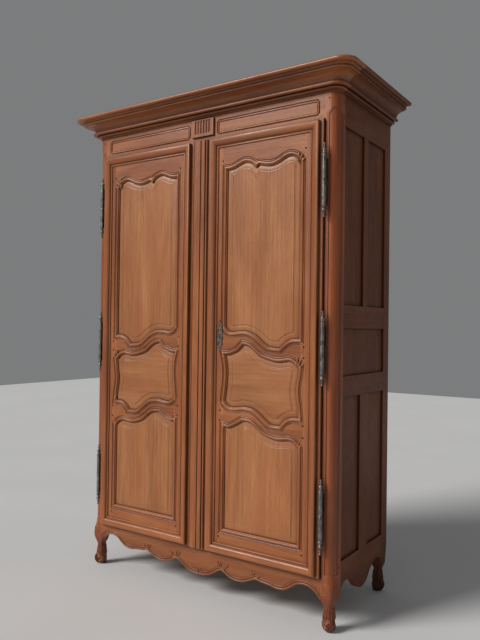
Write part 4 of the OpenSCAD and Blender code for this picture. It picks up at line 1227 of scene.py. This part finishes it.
def scroll(shape, place, u, z, r, turn, width, h, start, turns=1.35):
    """A small volute centred on (u, z) with a round eye."""
    path, radii = [], []
    n = 26
    for k in range(n + 1):
        t = k / n
        a = math.radians(start) + turn * 2 * math.pi * turns * t
        rr = r * (1 - 0.78 * t)
        path.append(place((u + rr * math.cos(a), z + rr * math.sin(a), h + 1.6 * t)))
        radii.append(max(0.4, width * (1 - 0.45 * t)))
    tube(shape, path, radii, 0.8, 10)
    rows = [[place((u + rr * math.cos(q), z + rr * math.sin(q), h + up))
             for q in np.linspace(0, 2 * math.pi, 14, endpoint=False)]
            for rr, up in ((r * 0.30, -0.5), (r * 0.30, 2.2), (r * 0.24, 3.4), (r * 0.12, 4.0),
                           (0.05, 4.2))]
    shape.grid(rows, wrap=True)
    shape.face(rows[0])


def make_carving(side, prefix, body):
    s = Shape()
    # crest over the upper panel
    scroll(s, at_leaf, -37, 1862, 7.0, 1, 2.2, -0.6, start=-60)
    blade(s, at_leaf, -33, 1846, 62, 30, 3.4, 0.2, -50)
    blade(s, at_leaf, -34, 1846, 112, 16, 2.2, 0.0, 30)
    # sprigs where the mouldings reach the hinge side
    for u, z in ((186, 1862), (190, 1046)):
        blade(s, at_leaf, u - 16, z - 12, 78, 31, 4.6, 1.4, 34)
        blade(s, at_leaf, u - 11, z - 19, 60, 32, 4.4, 1.4, 14)
        blade(s, at_leaf, u - 6, z - 28, 48, 29, 4.0, 1.2, -10)
        blade(s, at_leaf, u - 18, z - 24, 100, 20, 3.4, 1.6, 26)
    for z in (836, 716):
        blade(s, at_leaf, 179, z - 8, 60, 20, 2.8, 0.0, 26)
        blade(s, at_leaf, 183, z - 15, 40, 18, 2.4, 0.0, 8)
    # curled ends on the lock side
    for z, turn, start in ((1052, 1, -30), (848, -1, 40), (752, 1, -30), (1176, -1, 40)):
        scroll(s, at_leaf, -188, z, 5.6, turn, 1.9, -0.6, start=start, turns=1.1)
    s.make(prefix + "_leaf_carving", body, [wood("front", "z", 5)], side=side)


make_carving(1, "right", "right_door")
make_carving(-1, "left", "left_door")


def make_apron_carving():
    s = Shape()
    for side in (-1, 1):
        def place(p, side=side):
            return (side * p[0], -p[2], p[1])
        for x, z, big in ((132, 141, 1.0), (300, 141, 0.72)):
            scroll(s, place, x, z - 3 * big, 9.0 * big, 1, 2.5 * big, 0.2, start=-80, turns=1.5)
            blade(s, place, x - 7 * big, z + 3 * big, 150, 40 * big, 3.4 * big, 0.8, -52)
            blade(s, place, x - 5 * big, z + 8 * big, 118, 26 * big, 2.8 * big, 0.8, -30)
            blade(s, place, x + 8 * big, z + 2 * big, 30, 34 * big, 3.0 * big, 0.8, 34)
        blade(s, place, 12, 108, 20, 30, 2.6, 0.0, 24)
        blade(s, place, 8, 106, 58, 18, 2.2, 0.0, 20)
    blade(s, at_case, 0, 98, 90, 20, 3.0, 0.2, 0)
    s.make("apron_carving", "case", [wood("front", "x", 5)])


make_apron_carving()

SIDE_EDGE = [[70, 150], [104, 172], [150, 170], [190, 148], [228, 114], [278, 98],
             [328, 114], [366, 148], [406, 170], [453, 172], [487, 150]]


def make_side_bottom(side, name, seed):
    s = Shape()

    def place(p):
        return (HALF_W + p[2], p[0], p[1])
    y0, y1, top = FRONT_POST_D, CASE_D - REAR_POST_D, 262.0
    runs = [smooth_run(SIDE_EDGE, FINE), line((y1, 150), (y1, top)), line((y1, top), (y0, top)),
            line((y0, top), (y0, 150))]
    edge = [(-2.4, 0), (-1.2, -0.4), (-0.3, -1.3), (0, -2.6), (0, -24.6), (-0.4, -25.6),
            (-1.4, -26)]
    g = ring(runs, edge, 4.0, still=(1, 2, 3))[0]
    zl, zr = g[0][0][1], g[0][-1][1]
    strips = [g, straight((y1, zr), (y1, top), 26), straight((y1, top), (y0, top), 26),
              straight((y0, top), (y0, zl), 26)]
    member(s, strips, place, depth=(0, -26))
    s.make(name + "_shaped", "case", [wood("side", "y", seed)], [name], side=side)


make_side_bottom(1, "side_bottom_rail_right", 5)
make_side_bottom(-1, "side_bottom_rail_left", 6)


# ---- parts kept as drawn ------------------------------------------------------------

def dress(names, material, width=0.8):
    """Finish and softened edges for pieces whose shape stays as it is."""
    for name in names:
        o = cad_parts[name]
        for slot in o.material_slots:
            slot.material = material
        weld = o.modifiers.new("weld", "WELD")
        weld.merge_threshold = 0.00002
        bev = o.modifiers.new("soft edges", "BEVEL")
        bev.width = width / 1000
        bev.segments = 2
        bev.limit_method = "ANGLE"
        bev.angle_limit = math.radians(40)
        bev.harden_normals = False


dress(["side_top_rail_right", "side_top_rail_left", "side_mid_rails"], wood("side", "y", 2), 1.2)
dress(["side_muntins"], wood("side", "z", 3), 1.2)
dress(["side_panels_left", "side_panels_right"], wood("side", "z", 4), 1.0)
dress(["back_rails"], wood("inner", "x", 0), 1.5)
dress(["back_boards"], wood("inner", "z", 1, board=(0, 0.122)), 1.0)
dress(["floor_boards", "ceiling_boards"], wood("inner", "x", 2, board=(1, 0.122)), 1.0)
dress(["shelves"], wood("inner", "x", 3), 1.5)
dress(["cleats"], wood("inner", "y", 4), 1.0)
dress(["case_pegs", "left_pegs", "right_pegs"], wood("peg", "y", 0), 0.5)
dress(["top_bolt", "bottom_bolt", "bolt_guides", "lock_keeper", "lock_case", "lock_bolt"],
      IRON, 0.6)


# ---- camera, light, floor --------------------------------------------------------

def aim(place, azimuth, elevation, roll):
    a, e, r = (math.radians(v) for v in (azimuth, elevation, roll))
    back = Vector((math.sin(a) * math.cos(e), -math.cos(a) * math.cos(e), math.sin(e)))
    across = Vector((math.cos(a), math.sin(a), 0))
    up = back.cross(across)
    x = across * math.cos(r) + up * math.sin(r)
    y = up * math.cos(r) - across * math.sin(r)
    m = Matrix((x, y, back)).transposed().to_4x4()
    m.translation = place
    return m


cam = bpy.data.objects.new("camera", bpy.data.cameras.new("camera"))
bpy.context.scene.collection.objects.link(cam)
cam.data.sensor_width = 36
cam.data.lens = 36.66
cam.data.clip_end = 50
cam.matrix_world = aim(Vector((1.7577, -2.5085, 1.1794)), 34.18, -0.58, 0.73)
bpy.context.scene.camera = cam


def area(name, place, target, size, power, colour):
    d = bpy.data.lights.new(name, "AREA")
    d.size = size
    d.energy = power
    d.color = colour
    o = bpy.data.objects.new(name, d)
    o.location = place
    o.rotation_euler = (Vector(target) - Vector(place)).to_track_quat("-Z", "Y").to_euler()
    bpy.context.scene.collection.objects.link(o)


sun = bpy.data.objects.new("key", bpy.data.lights.new("key", "SUN"))
sun.data.energy = 3.0
sun.data.angle = math.radians(22)
sun.data.color = (1.0, 0.975, 0.94)
sun.rotation_euler = Vector((0.55, 0.78, -0.66)).to_track_quat("-Z", "Y").to_euler()
bpy.context.scene.collection.objects.link(sun)
area("front_fill", (-0.6, -6.0, 1.4), (0, 0, 1.0), 3.4, 26, (0.97, 0.98, 1.0))

world = bpy.data.worlds.new("studio")
bpy.context.scene.world = world
world.use_nodes = True
world.node_tree.nodes["Background"].inputs[0].default_value = (0.80, 0.81, 0.82, 1)
world.node_tree.nodes["Background"].inputs[1].default_value = 0.25

floor_mesh = bpy.data.meshes.new("floor")
floor_mesh.from_pydata([(-9, -9, 0), (9, -9, 0), (9, 9, 0), (-9, 9, 0)], [], [(0, 1, 2, 3)])
floor = bpy.data.objects.new("floor", floor_mesh)
bpy.context.scene.collection.objects.link(floor)
floor_mat, nt, bsdf = nodes_of("floor_pale")
co = nt.nodes.new("ShaderNodeTexCoord").outputs["Object"]
nt.links.new(mix_node(nt, noise_node(nt, co, 1.2, 5.0), (0.60, 0.605, 0.61), (0.68, 0.685, 0.69)),
             bsdf.inputs["Base Color"])
bsdf.inputs["Roughness"].default_value = 0.8
floor_mesh.materials.append(floor_mat)
bpy.context.scene.view_settings.view_transform = "Standard"
